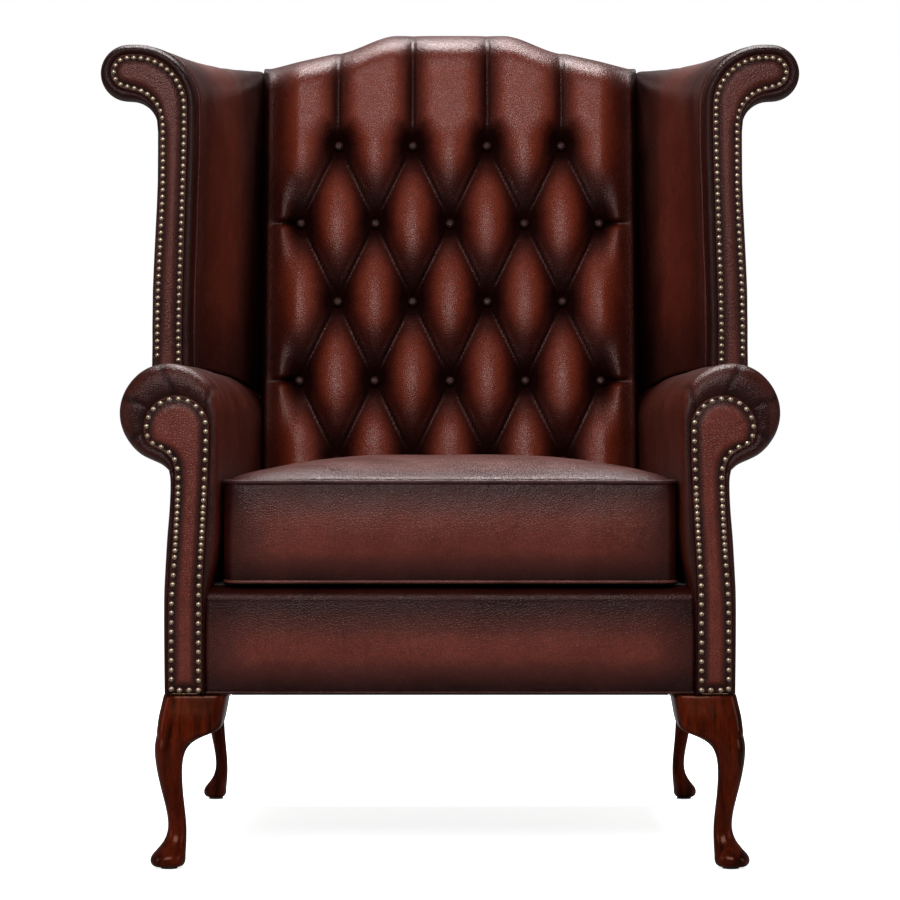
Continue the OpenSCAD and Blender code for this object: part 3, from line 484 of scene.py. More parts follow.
def back_rule(u, v):
    side = min(u, 1 - u)
    x = lerp(-BACK_HALF, BACK_HALF, min(1.0, max(0.0, (u - FLANGE) / (1 - 2 * FLANGE))))
    turn = crest_line(x) - ROLL_R
    if v <= CLIMB:
        z = lerp(DECK_Z + 0.001, turn, v / CLIMB)
        angle = 0.0
    else:
        angle = (v - CLIMB) / (1 - CLIMB) * math.pi / 2
        z = turn + ROLL_R * math.sin(angle)
    zz = min(z, turn)
    height = tuft(x, zz) - row_pull(x, zz)
    fade = math.cos(angle) ** 1.5 if v > CLIMB else 1.0
    edge = ease((BACK_HALF - abs(x)) / 0.048)
    height = lerp(0.80, height, 0.25 + 0.75 * fade)
    y = button_y(zz) - (PUFF + EXTRA_PUFF * ease((zz - 0.48) / 0.06)) * height
    y += 0.024 * (1 - edge)
    y += 0.0012 * wander((x, 0.0, z), 0.05)
    rear = outer_y(z) - PANEL - 0.0006
    if v > CLIMB:
        y = lerp(y, rear, (1 - math.cos(angle)) ** 1.25)
        z -= 0.0022 * math.exp(-abs(fold(x / BUTTON_DX + 0.5)) / 0.03) * (1 - math.sin(angle) ** 3)
    # Tone on the back: partly antique dye in the folds, partly painted light. The lower half of each diamond is
    # darkened as painted shade and its upper slope lightened as painted highlight; the sides next to the wings and
    # the bottom above the seat are darkened as painted shade, and the tucked sides are made black as painted shade in
    # the gap to the wings.
    low = ease((DECK_Z + 0.10 - z) / 0.10)
    across = 0.5 + min(abs(x), 2 * BUTTON_DX) / BUTTON_DX
    rise = fold(across + (z - ROW_0) / (2 * BUTTON_DZ) - 0.5) - fold(across - (z - ROW_0) / (2 * BUTTON_DZ) - 0.5)
    shade = 1 - 0.42 * ease(0.05 - 1.3 * rise) * (1 - ease((z - TOP_ROW) / 0.03))
    lit = height + 0.20 * ease(0.1 + 1.2 * rise) * (1 - ease((z - TOP_ROW) / 0.03))
    rub_and_shade = min(1.0, max(0.0, (lit - 0.34) / 0.56)) ** 1.2 * shade * (0.30 + 0.70 * edge) * (1 - 0.6 * low)
    if v > CLIMB:
        rub_and_shade = lerp(rub_and_shade, 0.48, math.sin(angle))
    if side < FLANGE:
        share = 1 - side / FLANGE
        x += math.copysign(0.0085 * min(1.0, share * 2), u - 0.5)
        y = lerp(y, max(y, web_y(zz) - 0.006), share)
        rub_and_shade = 0.0
    return Vector((x, y, z)), rub_and_shade


back = keep(cover_mesh(172, 262, back_rule), "tufted_inside_back", hide)
give_thickness(back, 0.012)
dressed("inside_back")
print("inside back:", len(back.data.polygons), "faces")

# %% [markdown]
# ## Buttons
# Each button is a metal shell covered with a scrap of the same hide. It is given a much darker copy of the
# leather, as painted shade of the deep dimple it sits in, and its tone darkens towards its base as more
# painted shade. Half of its section is drawn as a few points and spun round, which is how a turner would
# think of it, and one button is then copied to all the places on the leaning back.

# %% Buttons
def spun(profile, turns=20):
    bm = bmesh.new()
    points = [bm.verts.new((r, 0.0, h)) for r, h in profile]
    edges = [bm.edges.new(pair) for pair in zip(points, points[1:])]
    bmesh.ops.spin(bm, geom=points + edges, cent=(0, 0, 0), axis=(0, 0, 1), angle=math.tau, steps=turns,
        use_merge=True, use_duplicate=False)
    bmesh.ops.remove_doubles(bm, verts=bm.verts, dist=0.00002)
    bmesh.ops.recalc_face_normals(bm, faces=bm.faces)
    return bm


def copies(pattern, places, rub_and_shade=None):
    """Copies one small mesh to many places, each a matrix."""
    whole = bmesh.new()
    layer = rub_and_shade_layer(whole)
    block = bpy.data.meshes.new("pattern")
    pattern.to_mesh(block)
    for place in places:
        first = len(whole.verts)
        whole.from_mesh(block)
        whole.verts.ensure_lookup_table()
        fresh = whole.verts[first:]
        bmesh.ops.transform(whole, matrix=place, verts=fresh)
        for vert, source in zip(fresh, block.vertices):
            vert[layer] = rub_and_shade(source.co) if rub_and_shade else 0.5
    bpy.data.meshes.remove(block)
    pattern.free()
    return whole


BUTTON_R, BUTTON_HEIGHT = 0.0074, 0.0058
button_profile = [(0.0, -0.004), (BUTTON_R * 0.9, -0.004), (BUTTON_R, -0.001), (BUTTON_R * 0.99, 0.0014),
    (BUTTON_R * 0.90, 0.0034), (BUTTON_R * 0.72, 0.0048), (BUTTON_R * 0.40, 0.0056), (0.0, BUTTON_HEIGHT)]
button_places = []
for row in range(5):
    for column in range(-2, 3):
        shift = 0.5 if row % 2 == 0 else 0.0
        if shift and column == 2:
            continue
        z = ROW_0 + row * BUTTON_DZ
        button_places.append(Matrix.Translation(((column + shift) * BUTTON_DX, button_y(z) - 0.0005, z))
            @ Matrix.Rotation(math.pi / 2 - INNER_LEAN, 4, "X"))
# Button tone darkens towards the base: painted shade inside the dimple.
buttons = keep(copies(spun(button_profile, 24), button_places,
    lambda p: 0.05 + 0.50 * max(0.0, p.z) / BUTTON_HEIGHT), "back_button_caps", shaded_button_hide)
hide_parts("back_buttons")
print("buttons:", len(button_places))

# %% [markdown]
# ## Front wrap shared by arms and wings
# Arms and wings end at the front in the same way: the cover runs forward over the edge of the pad, turns in
# over a soft roll of stuffing, and disappears under the nailed facing. So one rule draws that wrap between
# two outlines, the facing's and the pad's: out from under the facing, round a quarter of an ellipse, and back.
# Where the outline bends tightly the spare leather is laid in a few short pleats that point to the centre.

# %% Front wrap
WRAP_DEPTH, UNDER_FACING, TUCKED = 0.020, 0.007, 0.16


def wrap(turn, edge, rim, out, depth=WRAP_DEPTH, swell=0.0045):
    """Place in the outline's plane and depth, for a share of the way from under the facing to the side."""
    width = (rim - edge).length
    if turn < TUCKED:
        share = turn / TUCKED
        return edge - out * UNDER_FACING * (1 - share), 0.0030 * (1 - share ** 2)
    angle = (turn - TUCKED) / (1 - TUCKED) * math.pi / 2
    full = swell * min(1.0, width / 0.012) * math.sin(2 * angle) ** 0.75
    return edge.lerp(rim, math.sin(angle)), depth * (1 - math.cos(angle)) - full


def pleats(share, places, width=0.006):
    return sum(math.exp(-((share - place) / width) ** 2) for place in places)


print("wrap is", WRAP_DEPTH, "m deep")

# %% [markdown]
# ## Scroll arms
# An arm is a padded board with a full roll on top. The cover starts at the seat, climbs the inside, goes
# over the roll and ends under it, where the outside panel begins. The outline of the front is a few
# straight runs and one large arc, rounded where they meet.

# %% Arm outlines
NECK_Z = ROLL_Z - ARM_R * 1.1
arm_in_line = Path([(-0.0425, LEG_H + 0.0005), (-0.0425, 0.26), (-0.0432, 0.31), (-0.050, DECK_Z + 0.006),
    (-0.0572, DECK_Z + 0.030), (-0.0605, DECK_Z + 0.075), (-0.0598, ROLL_Z - 0.05)]
    + arc(0, ROLL_Z, ARM_R, 180, -58, 40) + [Vector((0.021, ROLL_Z - 0.0560)), Vector((0.009, ROLL_Z - 0.0610)),
    Vector((0.0015, ROLL_Z - 0.0680))], 2)
arm_out_line = Path([(0.0015, ROLL_Z - 0.0682), (-0.0005, ROLL_Z - 0.078), (0.0, NECK_Z - 0.030),
    (0.0030, 0.400), (0.0060, DECK_Z + 0.010), (0.0072, RAIL_TOP), (0.0070, 0.26), (0.0065, LEG_H + 0.0005)], 2)
arm_in_face = Path([(-0.0410, LEG_H + 0.0005), (-0.0410, 0.26), (-0.0410, 0.31), (-0.0415, DECK_Z + 0.006),
    (-0.0432, DECK_Z + 0.030), (-0.0462, 0.42), (-0.0492, ROLL_Z - 0.05)]
    + arc(-0.009, ROLL_Z - 0.018, 0.041, 176, -30, 40) + [Vector((0.006, ROLL_Z - 0.0470)),
    Vector((-0.0035, ROLL_Z - 0.0570)), Vector((-0.0058, ROLL_Z - 0.0695))], 2)
arm_out_face = Path([(-0.0058, ROLL_Z - 0.0698), (-0.0060, ROLL_Z - 0.080), (-0.0056, NECK_Z - 0.030),
    (-0.0036, 0.400), (0.0, DECK_Z + 0.010), (0.0020, RAIL_TOP), (0.0025, 0.26), (0.0022, LEG_H + 0.0005)], 2)
print("arm outline", round(arm_in_line.length, 3), "m inside,", round(arm_out_line.length, 3), "m outside")

# %% Arm covers
ARM_TURNS = Matrix.Translation((ARM_X, FRONT_Y, 0)) @ Matrix.Rotation(TOE_IN, 4, "Z")


def share_at(path, centre, angle):
    """Where along a path a point lies in the given direction from the middle of the roll."""
    aim = Vector((math.cos(math.radians(angle)), math.sin(math.radians(angle))))
    return max((i / 500 for i in range(250, 500)), key=lambda s: (path.at(s) - centre).normalized().dot(aim))


ARM_PLEATS = [share_at(arm_in_line, Vector((0, ROLL_Z)), angle) for angle in (147, 78, 20, -34)]
BACK_PLANE = web_y(DECK_Z) - 0.004


def arm_cover_rule(path, face, pleat_places, roll_rear):
    def rule(u, v):
        point, out = path.at(u), path.out(u)
        front = 0.16
        wave = pleats(u, pleat_places, 0.0055)
        roundness = ease((point.y - DECK_Z - 0.02) / 0.06)
        if v < front:
            flat, y = wrap(v / front, path.partner(face, u), point, out)
            dent = wave * math.sin(math.pi * min(1.0, v / front * 1.05)) ** 0.8
            y += 0.0020 * dent
            flat = flat - out * 0.0010 * dent
            soft = 0.0016 * wander((point.x * 1.4, WRAP_DEPTH, point.y * 1.4), 0.085, 2.0) * roundness * v / front
        else:
            share = (v - front) / (1 - front)
            y = WRAP_DEPTH + share * (0.7584 - WRAP_DEPTH)
            flat = point - out * 0.0016 * wave * math.exp(-share * 16)
            soft = 0.0016 * wander((point.x * 1.4, y, point.y * 1.4), 0.085, 2.0) * roundness
        flat = flat + out * soft
        place = ARM_TURNS @ Vector((flat.x, y, flat.y))
        limit = outer_y(place.z) - PANEL - 0.001
        if place.y > limit:
            place.y = limit
        if place.x < 0.301 and place.y > BACK_PLANE:
            place.y = BACK_PLANE
        closing = (v - 0.965) / 0.035
        if closing > 0 and roll_rear and place.z > ROLL_Z - ARM_R - 0.004 and place.x >= 0.3005:
            centre = ARM_TURNS @ Vector((0.0, 0.7584, ROLL_Z))
            place = centre + (place - centre) * (1 - 0.97 * closing ** 1.5)
            place.y = outer_y(place.z) - PANEL + 0.0012 + 0.006 * closing * (1 - closing)
        # Tone on the arm: partly antique dye in pleats and folds, partly painted light. The wrap is darkened as
        # painted shade where it tucks under the facing, the inside darkens towards the back as painted shade where it
        # meets the back, and the low part by the seat is darkened as painted shade.
        rub_and_shade = 0.36 + 0.30 * math.sin(math.pi * min(1.0, max(0.0, (u - 0.12) / 0.62)))
        if v < front:
            rub_and_shade = rub_and_shade * (0.12 + 0.80 * ease((v / front - 0.20) / 0.55)) - 0.30 * wave
        else:
            share = (v - front) / (1 - front)
            if roll_rear:
                rub_and_shade *= 1 - 0.7 * ease((share - 0.55) / 0.35)
            else:
                rub_and_shade = 0.72 * (0.55 + 0.45 * ease(share / 0.05) * ease((1 - share) / 0.05))
            rub_and_shade -= 0.35 * wave * math.exp(-share * 14)
        rub_and_shade *= 0.72 + 0.28 * ease((point.y - DECK_Z - 0.1) / 0.12)
        return place, rub_and_shade
    return rule


def mirrored(bm):
    bmesh.ops.scale(bm, vec=(-1, 1, 1), verts=bm.verts)
    bmesh.ops.reverse_faces(bm, faces=bm.faces)
    return bm


def both(make, name, material, *nodes, slot="leather", thickness=None, fill=None, body="chair"):
    """Makes a piece for the right and its mirror image for the left, each standing for its CAD nodes."""
    made = []
    for side in ("right", "left"):
        bm = make()
        piece = keep(bm if side == "right" else mirrored(bm), f"{name}_{side}", material, body)
        if thickness:
            give_thickness(piece, thickness)
        if nodes:
            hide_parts(*[f"{node}_{side}" for node in nodes])
        made.append(piece)
    return made


both(lambda: cover_mesh(150, 110, arm_cover_rule(arm_in_line, arm_in_face, ARM_PLEATS, True)),
    "arm_cover", hide, "arm_pad", thickness=0.004, fill=0.8)
both(lambda: cover_mesh(40, 70, arm_cover_rule(arm_out_line, arm_out_face, [], False)),
    "outside_arm_cover", hide, "arm_panel", thickness=0.0025, fill=0.2)
print("arm covers made, mirrored to the left")

# %% [markdown]
# ## Nailed facings
# A facing is a thin board covered with leather and pressed onto the front, its edge held by a row of brass
# nails. Its outline could be inset as one face, but the narrow neck would fold over itself. So it is drawn
# as a strip from the outline to a spine down its middle, and its height depends on how far a point lies
# from the edge: over the rounded rim, down into the line of nails, and up onto the padded middle.

# %% Facing helper
NAIL_INSET, FACING_T = 0.0056, 0.0066


def facing_rule(edge_line, spine_line, middle, place_y, turn=None, foot=0.0, middle_tone=0.58):
    stops = [middle.at(i / 400) for i in range(401)]
    nearest = {}

    def rule(u, v):
        edge = edge_line.at(u)
        if u not in nearest:
            raw = edge_line.partner(spine_line, u)
            nearest[u] = min(stops, key=lambda stop: (stop - raw).length_squared)
        spine = nearest[u]
        share = v ** 1.3
        inside = share * (spine - edge).length
        inside = max(0.0, min(inside, lerp(edge.y, spine.y, share) - foot))
        rim = ease(inside / 0.0016)
        lift = 0.0016 * rim - 0.0015 * math.exp(-((inside - NAIL_INSET) / 0.0024) ** 2)
        lift += 0.0030 * ease((inside - 0.0070) / 0.0100)
        flat = edge.lerp(spine, share)
        place = Vector((flat.x, place_y + FACING_T * (1 - rim) - lift, flat.y))
        # Dark at the rim and lighter on the padded middle; how light the middle is comes in as an argument, set lower
        # for the wing facing than for the arm facing.
        rub_and_shade = 0.04 + 0.22 * rim * math.exp(-((inside - 0.0025) / 0.002) ** 2)
        rub_and_shade += middle_tone * ease((inside - 0.008) / 0.009)
        return (turn @ place if turn else place), rub_and_shade
    return rule


arm_in_spine = Path([(-0.0195, LEG_H + 0.0005), (-0.0195, 0.26), (-0.0195, 0.31), (-0.0200, DECK_Z + 0.006),
    (-0.0215, DECK_Z + 0.030), (-0.0245, 0.42), (-0.0265, ROLL_Z - 0.05)]
    + [Vector((-0.009, ROLL_Z - 0.018))] * 41
    + [Vector((-0.0130, ROLL_Z - 0.030)), Vector((-0.0215, ROLL_Z - 0.044)), Vector((-0.0265, ROLL_Z - 0.0695))], 2)
arm_out_spine = Path([(-0.0265, ROLL_Z - 0.0698), (-0.0260, ROLL_Z - 0.080), (-0.0235, NECK_Z - 0.030),
    (-0.0215, 0.400), (-0.0200, DECK_Z + 0.010), (-0.0195, RAIL_TOP), (-0.0195, 0.26), (-0.0195, LEG_H + 0.0005)], 2)
arm_middle = Path([(-0.0195, LEG_H + 0.0005), (-0.0195, RAIL_TOP), (-0.0200, DECK_Z + 0.006),
    (-0.0215, DECK_Z + 0.030), (-0.0245, 0.42), (-0.0262, ROLL_Z - 0.075), (-0.0235, ROLL_Z - 0.046),
    (-0.0165, ROLL_Z - 0.030), (-0.009, ROLL_Z - 0.018)], 2)
arm_face_line = Path(arm_in_face.points + arm_out_face.points)
arm_spine_line = Path(arm_in_spine.points + arm_out_spine.points)
both(lambda: cover_mesh(240, 16, facing_rule(arm_face_line, arm_spine_line, arm_middle, 0.0005, ARM_TURNS,
    LEG_H + 0.0003), close=True),
    "arm_facing_panel", hide, "arm_facing", fill=0.2)
arm_outline_points = [arm_face_line.at(i / 139) for i in range(140)]
print("arm facing outline", round(arm_face_line.length, 3), "m long")

# %% [markdown]
# ## Brass nails
# The nails have domed heads. A full sphere would waste faces, since hundreds are repeated, so a low sphere
# is cut in half and flattened. Their places are spaced evenly along the facing's own outline, drawn in.

# %% Nails
def inset_loop(outline, distance):
    """The same outline drawn in by a distance, by way of its neighbours' directions."""
    count = len(outline)
    moved = []
    for i, point in enumerate(outline):
        run = (outline[min(i + 1, count - 1)] - outline[max(i - 1, 0)]).normalized()
        moved.append(point + Vector((run.y, -run.x)) * distance)
    return moved


def nail_mesh(places):
    dome = bmesh.new()
    bmesh.ops.create_uvsphere(dome, u_segments=12, v_segments=8, radius=1.0)
    bmesh.ops.bisect_plane(dome, geom=dome.verts[:] + dome.edges[:] + dome.faces[:], plane_co=(0, 0, -0.02),
        plane_no=(0, 0, 1), clear_inner=True)
    bmesh.ops.scale(dome, vec=(0.0036, 0.0036, 0.0028), verts=dome.verts)
    turned = Matrix.Rotation(math.pi / 2, 4, "X")
    return copies(dome, [Matrix.Translation(p) @ turned @ Matrix.Rotation(random.uniform(-0.12, 0.12), 4, "X")
        for p in places])


def spaced(points, pitch, closer=None):
    """Places along a line; where closer(height) is 1 the nails stand a third nearer to each other."""
    line = Path(points)
    fine = 1500
    weights = [1.0 + 0.5 * (closer(line.at(i / fine).y) if closer else 0.0) for i in range(fine)]
    count = round(sum(weights) * line.length / fine / pitch)
    places, passed = [], 0.0
    for i, weight in enumerate(weights):
        if passed >= len(places) * sum(weights) / count and len(places) < count:
            places.append(line.at(i / fine))
        passed += weight
    return places


def narrow_neck(z):
    return ease((z - 0.362) / 0.016) * ease((0.462 - z) / 0.016)


nail_loop = inset_loop(arm_outline_points, NAIL_INSET)
inner_low, outer_low = nail_loop[0], nail_loop[-1]
loop = [Vector((inner_low.x, LEG_H + 0.0050))] + [p for p in nail_loop if p.y > LEG_H + 0.009] + [
    Vector((outer_low.x, LEG_H + 0.0050)), Vector((inner_low.x, LEG_H + 0.0050))]
arm_nail_places = [ARM_TURNS @ Vector((p.x, 0.0006, p.y)) for p in spaced(loop, 0.0113, narrow_neck)]
both(lambda: nail_mesh(arm_nail_places), "arm_nail_row", brass, "arm_nails", slot="antique_brass")
print("nails on one arm:", len(arm_nail_places))

# %% [markdown]
# ## Wings
# A wing is a scroll at the front that flattens towards the back. Its section is drawn at any share of the
# depth: up the inside, over the arch, round the scroll and back under it to the neck. The inside carries a
# thick roll of stuffing along the front edge and a flatter pad behind it.

# %% Wing sections
def wing_size(t):
    return dict(inner=lerp(0.322, POST_X, t), outer=lerp(0.322, POST_X, t) + lerp(0.052, 0.046, t),
        top=WING_TOP + 0.023 * t - 0.008 * math.sin(math.pi * t), arch=lerp(0.080, 0.034, t),
        corner=lerp(0.080, 0.012, t),
        scroll=lerp(0.036, 0.016, t), hollow=lerp(0.034, 0.006, t), spread=0.007 * (1 - t / 2), shift=0.009 * (1 - t))


def on_roll(x, y):
    across = min(ARM_R, abs(x - ARM_X + (y - FRONT_Y) * math.sin(TOE_IN)))
    return ROLL_Z + math.sqrt((ARM_R + 0.0012) ** 2 - across ** 2)


WING_LOW, WING_MID = ARM_TOP + 0.10375, ARM_TOP + 0.22825


def wing_line(t):
    s = wing_size(t)
    y = lerp(WING_Y, web_y(ARM_TOP), t)
    low = s["inner"] + s["spread"]
    peak = s["inner"] + s["arch"]
    scroll_x = peak + s["shift"]
    return Path([(low, on_roll(low, y)), (low, WING_LOW - 0.03), (lerp(low, s["inner"], 0.6), WING_MID - 0.03),
        (s["inner"], WING_MID + 0.07)]
        + arc(s["inner"] + s["corner"], s["top"] - s["corner"], s["corner"], 180, 93, 14)
        + arc(scroll_x, s["top"] - s["scroll"], s["scroll"], 84, -84, 16)
        + arc(s["outer"] + s["hollow"], s["top"] - 2 * s["scroll"] - s["hollow"], s["hollow"], 98, 180, 8)
        + [Vector((s["outer"], s["top"] - 2 * s["scroll"] - s["hollow"] - 0.006))], 1)


def wing_side_line(t):
    s = wing_size(t)
    y = lerp(WING_Y, web_y(ARM_TOP), t)
    low = s["outer"] + s["spread"]
    top = s["top"] - 2 * s["scroll"] - s["hollow"] - 0.0055
    return Path([(s["outer"], top), (s["outer"], lerp(top, WING_MID, 0.5)), (s["outer"] + 0.0005, WING_MID),
        (lerp(s["outer"], low, 0.6), WING_LOW + 0.04), (low, WING_LOW - 0.02), (low, on_roll(low, y))], 1)


FACE_INSET, FACE_OUT = 0.012, 0.0020
FRONT_ROLL, WING_WRAP = 0.033, 0.017


def wing_faces():
    """The facing's outline in two parts, with as many points as the wing's two front outlines."""
    s = wing_size(0)
    low, peak = s["inner"] + s["spread"] + FACE_INSET, s["inner"] + s["arch"]
    neck = s["top"] - 2 * s["scroll"] - s["hollow"]
    inner = [Vector((low, on_roll(low, WING_Y))), Vector((low, WING_LOW - 0.03)),
        Vector((low - 0.004, WING_MID - 0.03)), Vector((s["inner"] + FACE_INSET, WING_MID + 0.07))]
    inner += arc(peak, s["top"] - s["arch"], s["arch"] - FACE_INSET, 180, 93, 14)
    inner += arc(peak + s["shift"], s["top"] - s["scroll"], s["scroll"] - FACE_INSET, 84, -84, 16)
    under = Vector((s["outer"] + s["hollow"], neck))
    for step in range(9):
        turn = math.radians(lerp(98, 176, step / 8))
        reach = s["hollow"] + lerp(FACE_INSET * 0.8, FACE_OUT, step / 8)
        inner.append(under + Vector((math.cos(turn), math.sin(turn))) * reach)
    inner.append(Vector((s["outer"] - FACE_OUT, neck - 0.006)))
    outer_low = s["outer"] + s["spread"] - FACE_OUT
    side = s["outer"] - FACE_OUT
    outer = [Vector((side, neck - 0.0065)), Vector((side, lerp(neck, WING_MID, 0.5))),
        Vector((side, WING_MID)), Vector((lerp(side, outer_low, 0.6), WING_LOW + 0.04)),
        Vector((outer_low, WING_LOW - 0.02)), Vector((outer_low, on_roll(outer_low, WING_Y)))]
    low_mid, mid = (low + outer_low) / 2, s["inner"] + (FACE_INSET + s["outer"] - s["inner"] - FACE_OUT) / 2
    spine = [Vector((low_mid, on_roll(low_mid, WING_Y))), Vector((low_mid, WING_LOW - 0.03)),
        Vector((lerp(low_mid, mid, 0.6), WING_MID - 0.03)), Vector((mid, WING_MID + 0.07))]
    spine += arc(peak, s["top"] - s["arch"], 0.049, 180, 96, 14)
    middle = Path(spine + [Vector((peak + s["shift"], s["top"] - s["scroll"]))], 1)
    spine += [Vector((peak + s["shift"], s["top"] - s["scroll"]))] * 17
    spine += arc(peak, s["top"] - s["arch"], 0.049, 100, 176, 8)
    spine.append(Vector((mid, neck - 0.006)))
    outer_spine = [Vector((mid, neck - 0.0065)), Vector((mid, lerp(neck, WING_MID, 0.5))), Vector((mid, WING_MID)),
        Vector((lerp(mid, low_mid, 0.6), WING_LOW + 0.04)), Vector((low_mid, WING_LOW - 0.02)),
        Vector((low_mid, on_roll(low_mid, WING_Y)))]
    return [Path(points, 1) for points in (inner, outer, spine, outer_spine)] + [middle]


wing_in_face, wing_out_face, wing_in_spine, wing_out_spine, wing_middle = wing_faces()


def wing_depth(z, t):
    front = FRONT_ROLL / (web_y(WING_TOP) - WING_Y)
    if t <= front:
        return WING_Y + FRONT_ROLL * t / front
    return lerp(WING_Y + FRONT_ROLL, web_y(z) - 0.0028, (t - front) / (1 - front))


print("wing section at the front is", round(wing_line(0).length, 3), "m long")

# %% Wing covers
def wing_cover_rule(line, face, inside):
    sections = {}

    def rule(u, v):
        front, rear = 0.17, 0.92
        if v < front:
            t = 0.0
        elif v < rear:
            t = (v - front) / (rear - front)
        else:
            t = 1.0
        key = round(t, 5)
        if key not in sections:
            sections[key] = line(t)
        path = sections[key]
        point, out = path.at(u), path.out(u)
        soft = 0.0012 * wander((point.x, v, point.y), 0.08, 5.0) * (1 if v > front else v / front)
        inset = 0.0
        if v < front:
            flat, y = wrap(v / front, path.partner(face, u), point, out, WING_WRAP)
            y += WING_Y
        else:
            y = wing_depth(point.y, t)
            start = WING_Y + WING_WRAP
            y = lerp(start, y, ease(t * 12)) if y < start or t < 0.08 else y
            if inside:
                upright = ease((0.62 - u) / 0.12)
                inset += upright * (0.0050 * math.exp(-((t - 0.17) / 0.06) ** 2)
                    - 0.0035 * math.sin(math.pi * min(1.0, max(0.0, (t - 0.2) / 0.7))))
        if v > rear:
            share = (v - rear) / (1 - rear)
            z = point.y
            back_plane = outer_y(z) - PANEL - 0.0008
            y = lerp(wing_depth(z, 1.0), back_plane, min(1.0, share * 1.25))
            if inside and u < 0.50:
                y = wing_depth(z, 1.0)
            if inside and u >= 0.50 and share > 0.85:
                inset = 0.013
        if v >= front:
            flat = point - out * inset
        flat = flat + out * soft
        # Tone on the wing: the lighter band along the front roll and the lighter middle are painted highlight; the
        # inside darkens towards the back as painted shade where it meets the back, the wrap darkens as painted shade
        # under the facing, and the low part above the arm roll is darkened as painted shade.
        rub_and_shade = 0.70 * (0.6 + 0.4 * ease(t / 0.06) * ease((1 - t) / 0.06))
        if inside:
            rub_and_shade = 0.14 + 0.24 * math.exp(-((t - 0.06) / 0.05) ** 2)
            rub_and_shade += 0.56 * math.sin(math.pi * min(1, t * 1.15)) ** 1.5
            rub_and_shade *= 1 - 0.85 * ease((t - 0.55) / 0.40) if u < 0.60 else 1.0
            rub_and_shade += 0.10 * math.sin(math.pi * min(1.0, u / 0.62))
        if v < front:
            rub_and_shade = rub_and_shade * (0.08 + 0.80 * ease((v / front - 0.3) / 0.6))
        rub_and_shade *= 0.5 + 0.5 * ease((point.y - 0.60) / 0.10)
        return Vector((flat.x, y, flat.y)), rub_and_shade
    return rule


both(lambda: cover_mesh(150, 90, wing_cover_rule(wing_line, wing_in_face, True)), "wing_cover", hide,
    "wing_pad", "back_corner_pad", thickness=0.004, fill=0.8)
both(lambda: cover_mesh(40, 60, wing_cover_rule(wing_side_line, wing_out_face, False)), "outside_wing_cover",
    hide, "wing_panel", thickness=0.0025, fill=0.2)

# %% Wing facing and its nails
wing_face_line = Path(wing_in_face.points + wing_out_face.points)
wing_spine_line = Path(wing_in_spine.points + wing_out_spine.points)
wing_outline_points = [wing_face_line.at(i / 159) for i in range(160)]
both(lambda: cover_mesh(280, 14, facing_rule(wing_face_line, wing_spine_line, wing_middle, WING_Y + 0.0005,
    middle_tone=0.46), close=True),
    "wing_facing_panel", hide, "wing_facing", fill=0.2)
wing_loop = [p for p in inset_loop(wing_outline_points, NAIL_INSET) if p.y > ARM_TOP + 0.006]
wing_nail_places = [Vector((p.x, WING_Y + 0.0006, p.y)) for p in spaced(wing_loop, 0.0092)]
both(lambda: nail_mesh(wing_nail_places), "wing_nail_row", brass, "wing_nails", slot="antique_brass")
print("nails on one wing:", len(wing_nail_places))

# %% [markdown]
# ## Seat cushion
# The cushion is a leather box filled with foam and a feather wrap: a top and a bottom panel joined by a
# band, with a welt in each seam. A plain block with a rounded top would look hard. So the block is
# remeshed evenly and swollen as cloth with air inside, while the seam lines are pinned, because the welts
# hold them. How far a point may travel is capped, so the cushion stays in its seat.

# %% Cushion form
CUSHION_FRONT, CUSHION_D, CUSHION_H, CROWN = -0.394, 0.538, 0.122, 0.030
CUSHION_HALF = 0.2715
CUSHION_TAPER = CUSHION_D * math.tan(TOE_IN) * 1.2
CUSHION_LOW, CUSHION_TOP = DECK_Z + 0.0006, DECK_Z + CUSHION_H
CORNER_R = 0.024


def cushion_half(y):
    return CUSHION_HALF - CUSHION_TAPER * (y - CUSHION_FRONT) / CUSHION_D


def crown(x, y):
    """Height of the top panel over its seam."""
    across = abs(x) / cushion_half(y)
    along = abs(2 * (y - CUSHION_FRONT) / CUSHION_D - 1)
    out = min(1.0, (across ** 9 + along ** 9) ** (1 / 9))
    return CROWN * (1 - out ** 2.5) ** 0.6


def cushion_block():
    bm = bmesh.new()
    bmesh.ops.create_cube(bm, size=1.0)
    upright = [e for e in bm.edges if abs(e.verts[0].co.z - e.verts[1].co.z) > 0.5]
    size = Matrix.Diagonal((2 * CUSHION_HALF, CUSHION_D, CUSHION_H - 0.0006, 1))
    bmesh.ops.transform(bm, matrix=size, verts=bm.verts)
    bmesh.ops.translate(bm, vec=(0, CUSHION_FRONT + CUSHION_D / 2, (CUSHION_LOW + CUSHION_TOP) / 2), verts=bm.verts)
    bmesh.ops.bevel(bm, geom=upright, offset=CORNER_R, segments=5, affect="EDGES", profile=0.5, material=-1)
    for vert in bm.verts:
        vert.co.x *= cushion_half(vert.co.y) / CUSHION_HALF
    return bm


def set_rub_and_shade(piece, rule):
    mesh = piece.data
    layer = mesh.attributes.get("rubbed_and_shaded") or mesh.attributes.new("rubbed_and_shaded", "FLOAT", "POINT")
    for vert, value in zip(mesh.vertices, layer.data):
        value.value = rule(vert.co)


def apply_modifiers(piece):
    graph = bpy.context.evaluated_depsgraph_get()
    made = bpy.data.meshes.new_from_object(piece.evaluated_get(graph))
    piece.modifiers.clear()
    old = piece.data
    piece.data = made
    bpy.data.meshes.remove(old)


